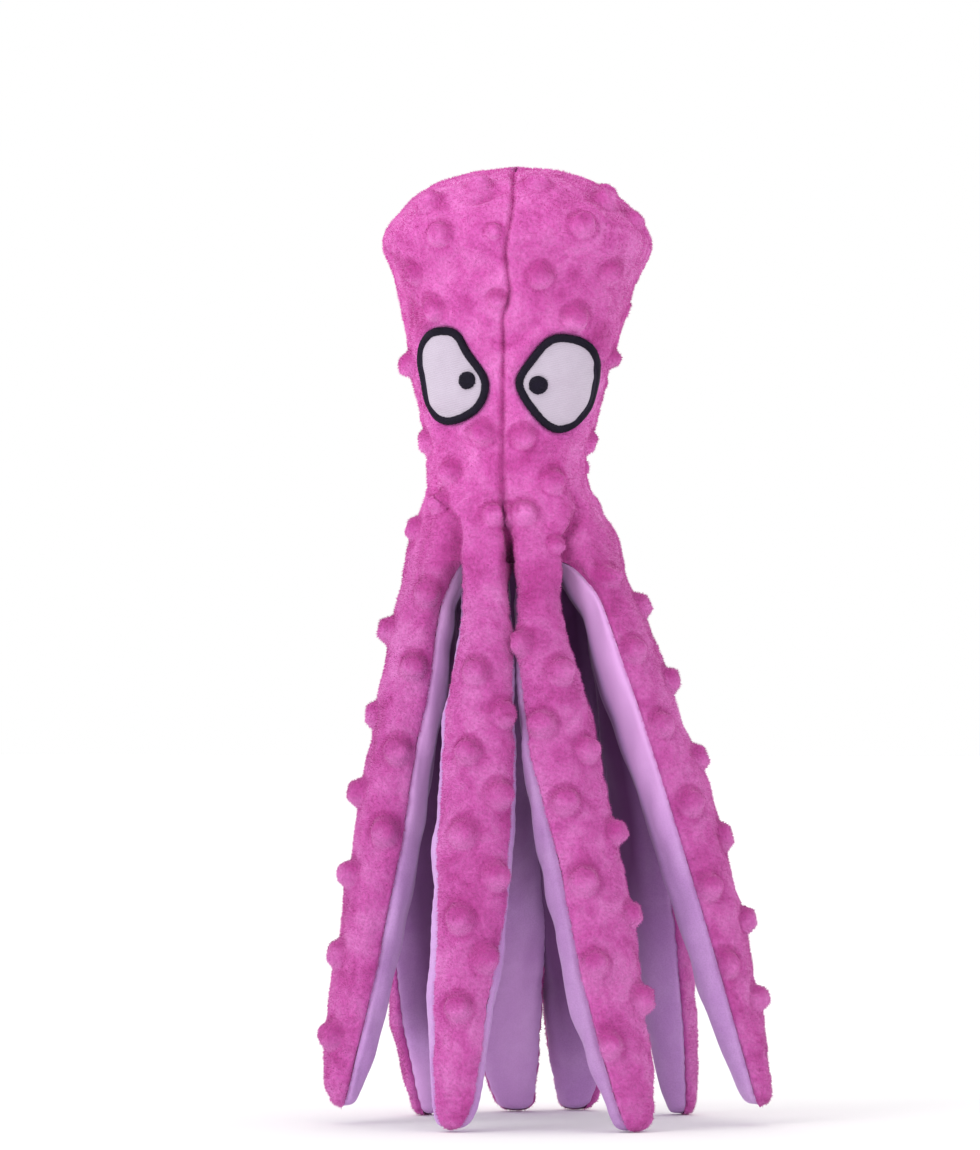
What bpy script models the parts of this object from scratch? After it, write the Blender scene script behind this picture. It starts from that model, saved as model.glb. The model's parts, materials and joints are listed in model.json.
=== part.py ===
"""Plush octopus: a stuffed head on eight soft legs, in dimple-dot plush lined with velour.

The front of the octopus faces -Y and it stands on the tips of its legs. A lofted head in four
sewn panels runs down into a lobed skirt. Eight legs hang from the skirt's hem, each a dotted
cover and a smooth lining round a pleated crinkle film. Inside the head, fibre filling holds a
blown squeaker with its reed plug. All lengths are in metres.
"""

import math

import bmesh
import bpy
from mathutils import Vector

# Overall sizes
CROWN_HEIGHT = 0.3200
HINGE_HEIGHT = 0.1880
HEAD_WIDTH = 0.0896
HEAD_DEPTH = 0.0800
HEAD_OFFSET = 0.0125
LEG_SPREAD_RADIUS = 0.0825
LEG_WIDTH = 0.0280
LEG_THICKNESS = 0.0220

# Cloth, seams and clearances
COVER_WALL = 0.0020
LINING_WALL = 0.0016
FILM_WALL = 0.0006
SEAM_GAP = 0.0005
SEAT_GAP = 0.0004
HINGE_GAP = 0.0004
FILLING_GAP = 0.0005
FLAT_DEPTH = 0.0005
CUT_OVERRUN = 0.0040
MERGE_DISTANCE = 0.00005

# Raised dots of the plush
DOT_RADIUS = 0.0052
DOT_HEIGHT = 0.0044
DOT_ROOT = 0.0012
DOT_PITCH = 0.0272
LEG_DOTS_END = 0.0240

# Eyes
LEFT_EYE_HALF_WIDTH = 0.0126
RIGHT_EYE_HALF_WIDTH = 0.0134
EYE_BORDER_WIDTH = 0.0025
EYE_PATCH_WALL = 0.0008
EYE_BORDER_WALL = 0.0013
LEFT_PUPIL_RADIUS = 0.0027
RIGHT_PUPIL_RADIUS = 0.0030
PUPIL_WALL = 0.0008

# Squeaker
BULB_RADIUS = 0.0170
BULB_WALL = 0.0012
NECK_RADIUS = 0.0056
NECK_LENGTH = 0.0060
PLUG_FLANGE = 0.0016
AIR_BORE_RADIUS = 0.0013
HAND_HOLE_RADIUS = 0.0085

# Underside of the head
UNDERSIDE_RIM = 0.0012
UNDERSIDE_RISE = 0.0090
UNDERSIDE_GAP = 0.0014
UNDERSIDE_RING_SHARES = (1.0, 0.8, 0.55, 0.28)

# Places in the head: the height of the bulb's and the eyes' middles as shares of the way
# from the hem to the crown, and the eyes' half height as a share of the same
HEAD_HEIGHT = CROWN_HEIGHT - HINGE_HEIGHT
BULB_HEIGHT = HINGE_HEIGHT + 0.576 * HEAD_HEIGHT
LEFT_EYE_HEIGHT = HINGE_HEIGHT + 0.479 * HEAD_HEIGHT
RIGHT_EYE_HEIGHT = HINGE_HEIGHT + 0.460 * HEAD_HEIGHT
EYE_HALF_HEIGHT = 0.1235 * HEAD_HEIGHT
LEFT_EYE_X = -0.420 * HEAD_WIDTH / 2
RIGHT_EYE_X = 0.357 * HEAD_WIDTH / 2

# Counts of facets
HEAD_SIDES = 32
FILLING_SIDES = 16
LEG_COLUMNS = 7
DOT_SIDES = 6
DOT_RINGS = 4
TURNED_SIDES = 16
BALL_STEPS = 8
PUPIL_SIDES = 12
FILM_FOLDS = 4
HALVINGS = 40
HEAD_DOTS_PER_BACK_ROW = 2

# Shapes as shares. The head's profile gives (share of the height from hem to crown, share of
# the half width), from hem to crown.
HEAD_PROFILE_SHARES = [
    (0.000, 0.837), (0.061, 0.781), (0.123, 0.692), (0.176, 0.629), (0.238, 0.600),
    (0.322, 0.629), (0.421, 0.692), (0.521, 0.772), (0.628, 0.848), (0.736, 0.924),
    (0.820, 1.000), (0.874, 0.965), (0.922, 0.840), (0.962, 0.620), (0.990, 0.330),
    (1.000, 0.000),
]
HEAD_ROUNDNESS = 2.25
SKIRT_LOBE_SHARE = 0.075
SKIRT_TOP_SHARE = 0.230

# A leg's half width and half thickness along it, as shares of its greatest ones.
LEG_PROFILE_SHARES = [
    (0.00, 0.735), (0.10, 0.800), (0.22, 0.900), (0.36, 0.975), (0.50, 1.000), (0.64, 0.960),
    (0.77, 0.840), (0.87, 0.690), (0.94, 0.560), (0.976, 0.420), (0.993, 0.240), (1.00, 0.000),
]
COVER_HALF_ANGLE = math.radians(80)
FILM_END_SHARE = 0.90
FILM_DEPTH_SHARE = 0.34

# Legs by name: angle of the root round the head, turn of the outer face towards the tip,
# tip (x, y) and belly (x, y) as shares of the spread, lift of the tip as a share of the
# spread, angles of the two dot columns round the leg, and where each column starts as a
# share of the dots' pitch.
LEG_SHARES = {
    "front_left": (-112.5, 3.0, (-0.205, -0.76), (0.023, -0.034), 0.00, (7, 53), (1.41, 1.88)),
    "front_right": (-67.5, 9.5, (0.535, -0.71), (-0.024, -0.030), 0.00, (-34, 45), (1.02, 1.40)),
    "side_left": (-157.5, 20, (-0.685, -0.27), (0.012, -0.012), 0.07, (53, -18), (0.31, 0.88)),
    "side_right": (-22.5, 1.0, (1.00, -0.18), (0.033, -0.010), 0.07, (-45, 30), (1.12, 0.55)),
    "hind_left": (157.5, 0.0, (-0.385, 0.36), (-0.120, -0.030), 0.00, (-30, 36), (0.60, 1.10)),
    "back_left": (112.5, 0.0, (-0.069, 0.64), (-0.056, 0.020), 0.00, (-34, 30), (0.90, 0.40)),
    "back_right": (67.5, 0.0, (0.189, 0.76), (0.078, 0.018), 0.00, (-30, 34), (0.50, 1.00)),
    "hind_right": (22.5, 0.0, (0.640, 0.47), (0.045, -0.030), 0.00, (-36, 30), (0.80, 0.30)),
}

# Dots on the front of the head: angle from the front seam, share of the head's height.
FRONT_DOT_SHARES = [
    (-47, 0.930), (-33, 0.850), (-54, 0.752), (-43, 0.663), (-22, 0.966), (18, 0.966),
    (62, 0.934), (32, 0.862), (75, 0.868), (56, 0.760), (17, 0.748), (36, 0.650),
    (-77, 0.522), (77, 0.522), (-76, 0.326), (76, 0.328), (-19, 0.330), (17, 0.310),
    (34, 0.225), (-48, 0.250), (-66, 0.150), (-20, 0.140), (20, 0.130), (66, 0.140),
]
# Rows of dots on the back: share of the head's height, angle of the first dot from the back
# seam and the step to the next.
BACK_DOT_SHARES = [
    (0.935, 22, 40), (0.850, 38, 36), (0.750, 18, 40), (0.650, 38, 36), (0.550, 18, 40),
    (0.450, 38, 36), (0.345, 22, 42), (0.240, 45, 28), (0.140, 22, 45),
]

# Eye outlines: shares of the half width and of the half height, going round.
LEFT_EYE_SHARES = [
    (-0.28, 1.00), (0.08, 0.92), (0.33, 0.69), (0.56, 0.43), (0.86, 0.20), (1.00, -0.10),
    (0.92, -0.47), (0.64, -0.75), (0.25, -0.93), (-0.22, -1.00), (-0.56, -0.88),
    (-0.75, -0.55), (-0.86, -0.18), (-1.00, 0.27), (-0.97, 0.62), (-0.72, 0.89),
]
RIGHT_EYE_SHARES = [
    (0.13, 1.00), (0.58, 0.96), (0.86, 0.79), (1.00, 0.46), (0.96, 0.08), (0.81, -0.32),
    (0.58, -0.67), (0.27, -0.93), (-0.08, -1.00), (-0.44, -0.87), (-0.74, -0.59),
    (-0.95, -0.27), (-1.00, 0.02), (-0.86, 0.34), (-0.60, 0.65), (-0.29, 0.90),
]
LEFT_PUPIL_SHARE = (0.36, -0.10)
RIGHT_PUPIL_SHARE = (-0.44, -0.04)
EYE_RING_SHARES = (0.35, 0.70)

# Step, as a share of a curve or surface, over which a slope is measured.
SLOPE_SHARE = 0.001

# The unit ball and box that the named sizes scale, and how far down the ball is kept.
UNIT = 1.0
BALL_KEPT_SHARE = 0.5

# Edges that turn less than this are shaded smooth.
SHARP_ANGLE = math.radians(40)

COLOURS = {
    "plush": ((0.578, 0.108, 0.392, 1.0), 0.85),
    "velour": ((0.503, 0.265, 0.558, 1.0), 0.80),
    "fibre": ((0.86, 0.86, 0.84, 1.0), 0.95),
    "felt": ((0.74, 0.64, 0.78, 1.0), 0.90),
    "satin": ((0.016, 0.014, 0.032, 1.0), 0.45),
    "blown_plastic": ((0.85, 0.86, 0.84, 1.0), 0.35),
    "moulded_plastic": ((0.80, 0.10, 0.08, 1.0), 0.40),
    "film": ((0.80, 0.82, 0.85, 1.0), 0.25),
}


def clear_scene():
    """Remove every object that the scene starts with."""
    for thing in list(bpy.data.objects):
        bpy.data.objects.remove(thing, do_unlink=True)


def make_collection(name):
    """A new collection linked to the scene."""
    collection = bpy.data.collections.new(name)
    bpy.context.scene.collection.children.link(collection)
    return collection


def make_material(name):
    """A Principled material in one of the named colours."""
    colour, roughness = COLOURS[name]
    material = bpy.data.materials.new(name)
    material.use_nodes = True
    shader = material.node_tree.nodes["Principled BSDF"]
    shader.inputs["Base Color"].default_value = colour
    shader.inputs["Roughness"].default_value = roughness
    shader.inputs["Metallic"].default_value = 0.0
    material.diffuse_color = colour
    return material


def smooth_value(rows, place, column=1):
    """A column of a table at a place along its first column, on a smooth curve through it."""
    last = len(rows) - 2
    index = next((i for i in range(last) if place < rows[i + 1][0]), last)
    here, there = rows[index], rows[index + 1]
    before = rows[max(index - 1, 0)]
    after = rows[min(index + 2, last + 1)]
    span = there[0] - here[0]
    slope_here = (there[column] - before[column]) / (there[0] - before[0]) * span
    slope_there = (after[column] - here[column]) / (after[0] - here[0]) * span
    t = min(max((place - here[0]) / span, 0.0), 1.0)
    return (
        (2 * t**3 - 3 * t**2 + 1) * here[column]
        + (t**3 - 2 * t**2 + t) * slope_here
        + (3 * t**2 - 2 * t**3) * there[column]
        + (t**3 - t**2) * slope_there
    )


def head_height(share):
    """The height at a share of the way from the hem to the crown."""
    return HINGE_HEIGHT + share * HEAD_HEIGHT


def head_share(height):
    """The share of the way from the hem to the crown at a height."""
    return (height - HINGE_HEIGHT) / HEAD_HEIGHT


def head_radius(angle, share):
    """The head's radius at an angle from +X: a squarish oval, with a lobe over each leg."""
    breadth = smooth_value(HEAD_PROFILE_SHARES, share)
    across = abs(math.cos(angle)) / (HEAD_WIDTH / 2)
    along = abs(math.sin(angle)) / (HEAD_DEPTH / 2)
    oval = (across**HEAD_ROUNDNESS + along**HEAD_ROUNDNESS) ** (-1 / HEAD_ROUNDNESS)
    flare = max(0.0, 1 - max(share, 0.0) / SKIRT_TOP_SHARE)
    valley = SKIRT_LOBE_SHARE * flare * (1 + math.cos(8 * angle)) / 2
    return breadth * oval * (1 - valley)


def head_point(angle, share):
    """A point on the head's skin, measured from the head's own axis."""
    radius = head_radius(angle, share)
    return Vector((radius * math.cos(angle), radius * math.sin(angle), head_height(share)))


def head_normal(angle, share):
    """The head's outward direction at a point of its skin."""
    round_it = head_point(angle + SLOPE_SHARE, share) - head_point(angle - SLOPE_SHARE, share)
    low = max(share - SLOPE_SHARE, 0.0)
    high = min(share + SLOPE_SHARE, 1.0)
    up_it = head_point(angle, high) - head_point(angle, low)
    return round_it.cross(up_it).normalized()


def head_angle_at(x, share):
    """The angle, on the head's front, of the skin at a distance x from the middle."""
    low, high = math.radians(-180), math.radians(0)
    for _ in range(HALVINGS):
        middle = (low + high) / 2
        if head_point(middle, share).x < x:
            low = middle
        else:
            high = middle
    return (low + high) / 2


def placed(point):
    """A point measured from the head's axis, moved to where that axis stands."""
    return point + Vector((-HEAD_OFFSET, 0, 0))


def quarter_shift(angle):
    """The shift that opens the seams between the head's four panels, at an angle."""
    return Vector((
        math.copysign(SEAM_GAP / 2, math.cos(angle)),
        math.copysign(SEAM_GAP / 2, math.sin(angle)),
        0,
    ))


def new_object(name, mesh, collection, material=None):
    """An object for a mesh, in a collection."""
    thing = bpy.data.objects.new(name, mesh)
    collection.objects.link(thing)
    if material:
        mesh.materials.append(material)
    return thing


def loft(name, rows, ring=False, capped=False):
    """A mesh lofted through rows of points; a row of one point is a pole."""
    work = bmesh.new()
    made = [[work.verts.new(point) for point in row] for row in rows]
    for lower, upper in zip(made, made[1:]):
        count = max(len(lower), len(upper))
        for i in range(count if ring else count - 1):
            j = (i + 1) % count
            if len(upper) == 1:
                work.faces.new((lower[i], lower[j], upper[0]))
            elif len(lower) == 1:
                work.faces.new((lower[0], upper[j], upper[i]))
            else:
                work.faces.new((lower[i], lower[j], upper[j], upper[i]))
    if capped:
        for row in (made[0], made[-1]):
            if len(row) > 1:
                work.faces.new(row)
        bmesh.ops.recalc_face_normals(work, faces=work.faces)
    mesh = bpy.data.meshes.new(name)
    work.to_mesh(mesh)
    work.free()
    return mesh


def thicken(thing, wall, offset=-1.0):
    """Give an open surface its wall."""
    solid = thing.modifiers.new("wall", "SOLIDIFY")
    solid.thickness = wall
    solid.offset = offset
    solid.use_rim = True


def boolean(thing, other, operation, solver="EXACT"):
    """Join or cut an object with another."""
    step = thing.modifiers.new(operation.lower(), "BOOLEAN")
    step.operation = operation
    step.solver = solver
    step.object = other


def smooth(thing):
    """Shade an object smooth where its faces meet softly."""
    thing.data.shade_smooth()
    thing.data.set_sharp_from_angle(angle=SHARP_ANGLE)


def hide_cutter(thing):
    """Mark an object as a cutter."""
    thing.hide_render = True
    thing.display_type = "WIRE"
    return thing


def box_cutter(name, low, high, collection):
    """A box between two corners."""
    mesh = bpy.data.meshes.new(name)
    work = bmesh.new()
    bmesh.ops.create_cube(work, size=UNIT)
    middle = (low + high) / 2
    size = high - low
    for vertex in work.verts:
        vertex.co = Vector(a * b for a, b in zip(vertex.co, size)) + middle
    work.to_mesh(mesh)
    work.free()
    return hide_cutter(new_object(name, mesh, collection))


def unit_dot():
    """The points and faces of the upper part of a ball of radius 1, closed underneath."""
    work = bmesh.new()
    bmesh.ops.create_uvsphere(
        work, u_segments=DOT_SIDES, v_segments=DOT_RINGS, radius=UNIT
    )
    lower = [vertex for vertex in work.verts if vertex.co.z < -BALL_KEPT_SHARE]
    bmesh.ops.delete(work, geom=lower, context="VERTS")
    bmesh.ops.holes_fill(work, edges=work.edges)
    bmesh.ops.recalc_face_normals(work, faces=work.faces)
    work.verts.index_update()
    points = [vertex.co.copy() for vertex in work.verts]
    faces = [[vertex.index for vertex in face.verts] for face in work.faces]
    work.free()
    return points, faces


def dots_mesh(name, places):
    """Raised dots on a surface, each given by its point and outward direction."""
    points, faces = unit_dot()
    made_points, made_faces = [], []
    for point, normal in places:
        first = len(made_points)
        turn = normal.to_track_quat("Z", "Y")
        for unit in points:
            lift = unit.z * (DOT_HEIGHT + DOT_ROOT) - DOT_ROOT
            scaled = Vector((unit.x * DOT_RADIUS, unit.y * DOT_RADIUS, lift))
            made_points.append(point + turn @ scaled)
        made_faces += [[first + index for index in face] for face in faces]
    mesh = bpy.data.meshes.new(name)
    mesh.from_pydata(made_points, [], made_faces)
    return mesh


def profile_shares():
    """The heights of the head's sections, as shares, from hem to crown."""
    return [row[0] for row in HEAD_PROFILE_SHARES]


def head_panel(name, quarter, collection, cutters, material, hem, dots):
    """A quarter of the head's cover, from hem to crown, with its dots."""
    steps = HEAD_SIDES // 4
    start = math.radians(90) * quarter
    middle = start + math.radians(45)
    shift = quarter_shift(middle)
    angles = [start + math.radians(90) * i / steps for i in range(steps + 1)]
    rows = [[placed(head_point(a, s)) + shift for a in angles] for s in profile_shares()[:-1]]
    flare = head_point(middle, 0.0) - head_point(middle, profile_shares()[1])
    spread = flare.xy.length / -flare.z * CUT_OVERRUN
    lower = []
    for angle in angles:
        point = head_point(angle, 0.0)
        out = Vector((math.cos(angle), math.sin(angle), 0)) * spread
        lower.append(placed(point + out) + shift - Vector((0, 0, CUT_OVERRUN)))
    rows.insert(0, lower)
    rows.append([placed(Vector((0, 0, CROWN_HEIGHT))) + shift])
    panel = new_object(name, loft(name, rows), collection, material)
    smooth(panel)
    thicken(panel, COVER_WALL)
    places = [(placed(head_point(a, s)) + shift, head_normal(a, s)) for a, s in dots]
    group = new_object(name + "_dots", dots_mesh(name + "_dots", places), cutters)
    boolean(panel, hide_cutter(group), "UNION", solver="MANIFOLD")
    boolean(panel, hem, "DIFFERENCE")
    return panel


def head_dots(quarter):
    """The angles and height shares of the dots on a quarter of the head."""
    front = [(math.radians(angle - 90), share) for angle, share in FRONT_DOT_SHARES]
    back = []
    for share, first, step in BACK_DOT_SHARES:
        for side in (-1, 1):
            for i in range(HEAD_DOTS_PER_BACK_ROW):
                back.append((math.radians(90 + side * (first + i * step)), share))
    low = math.radians(90) * quarter
    high = low + math.radians(90)
    return [(a % math.tau, s) for a, s in front + back if low < a % math.tau < high]


def head_filling(collection, pocket, material):
    """The fibre filling, a little smaller than the cover, with a pocket for the squeaker."""
    inset = COVER_WALL + FILLING_GAP
    floor = UNDERSIDE_RIM + UNDERSIDE_RISE + LINING_WALL + SEAT_GAP
    lowest = head_share(HINGE_HEIGHT + floor)
    angles = [math.tau * i / FILLING_SIDES for i in range(FILLING_SIDES)]
    shares = [lowest] + [s for s in profile_shares() if lowest < s < 1]
    rows = []
    for share in shares:
        row = []
        for angle in angles:
            inner = head_point(angle, share) - head_normal(angle, share) * inset
            row.append(placed(inner))
        rows.append(row)
    flat = placed(Vector((0, 0, HINGE_HEIGHT + floor)))
    for point in rows[0]:
        point.z = flat.z
    rows.append([placed(Vector((0, 0, CROWN_HEIGHT - inset)))])
    name = "head_filling"
    filling = new_object(name, loft(name, rows, ring=True, capped=True), collection, material)
    smooth(filling)
    boolean(filling, pocket, "DIFFERENCE")
    return filling


def underside_lining(collection, material):
    """The velour that closes the head between the legs, drawn up in the middle."""
    angles = [math.tau * i / HEAD_SIDES for i in range(HEAD_SIDES)]
    rim_share = head_share(HINGE_HEIGHT + UNDERSIDE_RIM)
    rows = []
    for share in UNDERSIDE_RING_SHARES:
        row = []
        for angle in reversed(angles):
            radius = head_radius(angle, rim_share) - COVER_WALL - UNDERSIDE_GAP
            height = HINGE_HEIGHT + UNDERSIDE_RIM + UNDERSIDE_RISE * (1 - share**2)
            flat = Vector((math.cos(angle), math.sin(angle), 0)) * radius * share
            row.append(placed(flat + Vector((0, 0, height))))
        rows.append(row)
    top = HINGE_HEIGHT + UNDERSIDE_RIM + UNDERSIDE_RISE
    rows.append([placed(Vector((0, 0, top)))])
    name = "underside_lining"
    lining = new_object(name, loft(name, rows, ring=True), collection, material)
    smooth(lining)
    thicken(lining, LINING_WALL)
    return lining


def turned(name, profile, collection, material=None, closed=False):
    """A body turned from a profile of (radius, height) points about the head's axis."""
    mesh = bpy.data.meshes.new(name)
    edges = [(i, i + 1) for i in range(len(profile) - 1)]
    if closed:
        edges.append((len(profile) - 1, 0))
    mesh.from_pydata([(radius, 0, height) for radius, height in profile], edges, [])
    thing = new_object(name, mesh, collection, material)
    thing.location = placed(Vector((0, 0, 0)))
    screw = thing.modifiers.new("turn", "SCREW")
    screw.steps = TURNED_SIDES
    screw.render_steps = TURNED_SIDES
    screw.use_merge_vertices = True
    screw.merge_threshold = MERGE_DISTANCE
    screw.use_smooth_shade = True
    screw.use_normal_calculate = False
    return thing


def arc(centre, radius, start, end):
    """Points of an arc in the profile plane, angles in degrees from straight up."""
    points = []
    for i in range(BALL_STEPS + 1):
        angle = math.radians(start + (end - start) * i / BALL_STEPS)
        points.append((radius * math.sin(angle), centre + radius * math.cos(angle)))
    return points


def neck_angle(radius, ball):
    """The angle from straight up, in degrees, where a ball is as narrow as its neck."""
    return 180 - math.degrees(math.asin(radius / ball))


def squeaker(collection, cutters):
    """The blown bulb, its reed plug, and the pocket that the bulb sits in."""
    bore = NECK_RADIUS - BULB_WALL
    inside = BULB_RADIUS - BULB_WALL
    neck_end = BULB_HEIGHT - BULB_RADIUS - NECK_LENGTH
    outer = arc(BULB_HEIGHT, BULB_RADIUS, 0, neck_angle(NECK_RADIUS, BULB_RADIUS))
    inner = arc(BULB_HEIGHT, inside, neck_angle(bore, inside), 0)
    outer[0] = (0, outer[0][1])
    inner[-1] = (0, inner[-1][1])
    shell = outer + [(NECK_RADIUS, neck_end), (bore, neck_end)] + inner
    bulb = turned("squeaker_bulb", shell, collection, make_material("blown_plastic"))
    plug_radius = bore - SEAT_GAP
    shoulder = neck_end - SEAT_GAP
    foot = shoulder - PLUG_FLANGE
    plug_top = neck_end + NECK_LENGTH
    plug = [
        (AIR_BORE_RADIUS, plug_top), (plug_radius, plug_top), (plug_radius, shoulder),
        (NECK_RADIUS, shoulder), (NECK_RADIUS, foot), (AIR_BORE_RADIUS, foot),
    ]
    reed = turned(
        "squeaker_reed_plug", plug, collection, make_material("moulded_plastic"), closed=True
    )
    pocket_radius = BULB_RADIUS + SEAT_GAP
    hollow = arc(BULB_HEIGHT, pocket_radius, 0, neck_angle(HAND_HOLE_RADIUS, pocket_radius))
    hollow[0] = (0, hollow[0][1])
    hollow += [(HAND_HOLE_RADIUS, HINGE_HEIGHT), (0, HINGE_HEIGHT)]
    pocket = turned("squeaker_pocket", hollow, cutters)
    return bulb, reed, hide_cutter(pocket)


def eye_outline(shares, centre, half_width, inset):
    """Points of an eye's outline from its centre, drawn in from its edge by an inset."""
    points = [Vector((u * half_width, v * EYE_HALF_HEIGHT)) for u, v in shares]
    count = len(points)
    drawn = []
    for i, point in enumerate(points):
        along = points[(i + 1) % count] - points[i - 1]
        inward = Vector((along.y, -along.x)).normalized()
        if inward.dot(point) > 0:
            inward = -inward
        drawn.append(centre + point + inward * inset)
    return drawn


def on_face(point, lift):
    """A flat (x, height) point of the face, laid on the head's front and lifted off it."""
    share = head_share(point.y)
    angle = head_angle_at(point.x, share)
    lifted = head_point(angle, share) + head_normal(angle, share) * lift
    return placed(lifted + quarter_shift(angle))


def layer(name, rings, lift, wall, collection, material, filled=True):
    """A layer laid on the head's front, between a lift and a lift plus its wall."""
    below = [[on_face(point, lift) for point in ring] for ring in rings]
    above = [[on_face(point, lift + wall) for point in ring] for ring in rings]
    rows = below + list(reversed(above))
    if not filled:
        rows = rows + [rows[0]]
    mesh = loft(name, rows, ring=True, capped=filled)
    work = bmesh.new()
    work.from_mesh(mesh)
    bmesh.ops.remove_doubles(work, verts=work.verts, dist=MERGE_DISTANCE)
    bmesh.ops.recalc_face_normals(work, faces=work.faces)
    work.to_mesh(mesh)
    work.free()
    thing = new_object(name, mesh, collection, material)
    smooth(thing)
    return thing


def scaled_rings(outline, centre, shares):
    """Rings inside an outline, at shares of the way out from its centre, and the outline."""
    rings = [[centre + (point - centre) * share for point in outline] for share in shares]
    return rings + [outline]


def eye(side, shares, centre, half_width, pupil_share, pupil_radius, collection, cloth):
    """An eye: a white patch, its stitched border and its pupil."""
    inner = eye_outline(shares, centre, half_width, EYE_BORDER_WIDTH)
    patch_edge = eye_outline(shares, centre, half_width, EYE_BORDER_WIDTH + SEAT_GAP)
    outer = eye_outline(shares, centre, half_width, 0)
    patch_rings = scaled_rings(patch_edge, centre, EYE_RING_SHARES)
    layer(f"eye_{side}_patch", patch_rings, SEAT_GAP, EYE_PATCH_WALL, collection, cloth["felt"])
    layer(
        f"eye_{side}_border", [inner, outer], SEAT_GAP, EYE_BORDER_WALL, collection,
        cloth["satin"], filled=False,
    )
    middle = centre + Vector((pupil_share[0] * half_width, pupil_share[1] * EYE_HALF_HEIGHT))
    circle = []
    for i in range(PUPIL_SIDES):
        angle = math.tau * i / PUPIL_SIDES
        circle.append(middle + Vector((math.cos(angle), math.sin(angle))) * pupil_radius)
    lift = SEAT_GAP + EYE_PATCH_WALL + SEAT_GAP
    layer(f"eye_{side}_pupil", [circle], lift, PUPIL_WALL, collection, cloth["satin"])


class Leg:
    """The path, section and outer direction of one leg."""

    def __init__(self, name):
        root, turn, tip, belly, lift, self.dot_angles, self.dot_starts = LEG_SHARES[name]
        self.name = name
        self.root_angle = math.radians(root)
        self.turn = math.radians(turn)
        self.out = Vector((math.cos(self.root_angle), math.sin(self.root_angle), 0))
        self.hinge = self.out * head_radius(self.root_angle, 0.0)
        self.hinge.z = HINGE_HEIGHT
        half = LEG_THICKNESS / 2 * LEG_PROFILE_SHARES[0][1]
        self.root = self.hinge - self.out * half
        self.tip = Vector((tip[0], tip[1], lift)) * LEG_SPREAD_RADIUS
        self.tip.z -= FLAT_DEPTH if lift == 0 else 0
        offset = Vector((belly[0], belly[1], 0)) * LEG_SPREAD_RADIUS
        self.belly = (self.root + self.tip) / 2 + offset * 2
        self.root += self.hem_drop(half)
        bent = (self.belly - self.root).length + (self.tip - self.belly).length
        self.length = (bent + 2 * (self.tip - self.root).length) / 3

    def hem_drop(self, half):
        """The shift that sets the root's outer edge on the hinge line, a gap below the hem."""
        width = Vector((-self.out.y, self.out.x, 0))
        along = (self.belly - self.root).normalized()
        outward = width.cross(along).normalized()
        if outward.dot(self.out) < 0:
            outward = -outward
        edge = self.root + outward * half
        target = self.hinge - Vector((0, 0, HINGE_GAP))
        return target - edge

    def frame(self, share):
        """The centre, width direction and outer direction of the leg's section at a share."""
        s = share
        centre = self.root * (1 - s) ** 2 + self.belly * 2 * s * (1 - s) + self.tip * s**2
        along = (self.belly - self.root) * (1 - s) + (self.tip - self.belly) * s
        angle = self.root_angle + self.turn * (3 * s**2 - 2 * s**3)
        width = Vector((-math.sin(angle), math.cos(angle), 0))
        outward = along.normalized().cross(width).normalized()
        facing = Vector((math.cos(angle), math.sin(angle), 0))
        if outward.dot(facing) < 0:
            outward = -outward
        return centre, width, outward

    def point(self, share, angle, shift=0.0, wall=0.0):
        """A point of the leg's skin, or a wall inside it, at an angle from its outer face."""
        centre, width, outward = self.frame(share)
        size = smooth_value(LEG_PROFILE_SHARES, share)
        across = math.sin(angle) * (size * LEG_WIDTH / 2 - wall)
        through = math.cos(angle) * (size * LEG_THICKNESS / 2 - wall)
        return centre + width * across + outward * (through + shift)

    def normal(self, share, angle):
        """The outward direction of the leg's skin."""
        step = SLOPE_SHARE
        round_it = self.point(share, angle + step) - self.point(share, angle - step)
        down_it = self.point(share + step, angle) - self.point(share - step, angle)
        normal = round_it.cross(down_it).normalized()
        outward = self.point(share, angle) - self.frame(share)[0]
        return normal if normal.dot(outward) > 0 else -normal


def leg_shares():
    """The places of a leg's sections, as shares, from root to tip."""
    return [row[0] for row in LEG_PROFILE_SHARES]


def seam_angle(share, wall):
    """The angle, on a leg's skin or a wall inside it, of the seam between cover and lining."""
    depth = smooth_value(LEG_PROFILE_SHARES, share) * LEG_THICKNESS / 2
    return math.acos(math.cos(COVER_HALF_ANGLE) * depth / (depth - wall))


def leg_rows(leg, side, wall):
    """Rows of points of half a leg's skin, on one side of its seams, a wall inside it."""
    shift = side * SEAM_GAP / 2
    end = 1 - wall / leg.length
    rows = []
    for share in leg_shares()[:-1]:
        seam = seam_angle(share, wall)
        first, last = (-seam, seam) if side > 0 else (seam, math.tau - seam)
        row = []
        for i in range(LEG_COLUMNS + 1):
            angle = first + (last - first) * i / LEG_COLUMNS
            row.append(placed(leg.point(share, angle, shift, wall)))
        rows.append(row)
    centre, _, outward = leg.frame(end)
    rows.append([placed(centre + outward * shift)])
    return rows


def edge_loop(grid):
    """The points round the edge of a grid whose last row is a pole."""
    right = [row[-1] for row in grid[1:-1]]
    left = [row[0] for row in grid[1:-1]]
    return grid[0] + right + grid[-1] + left[::-1]


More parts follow.
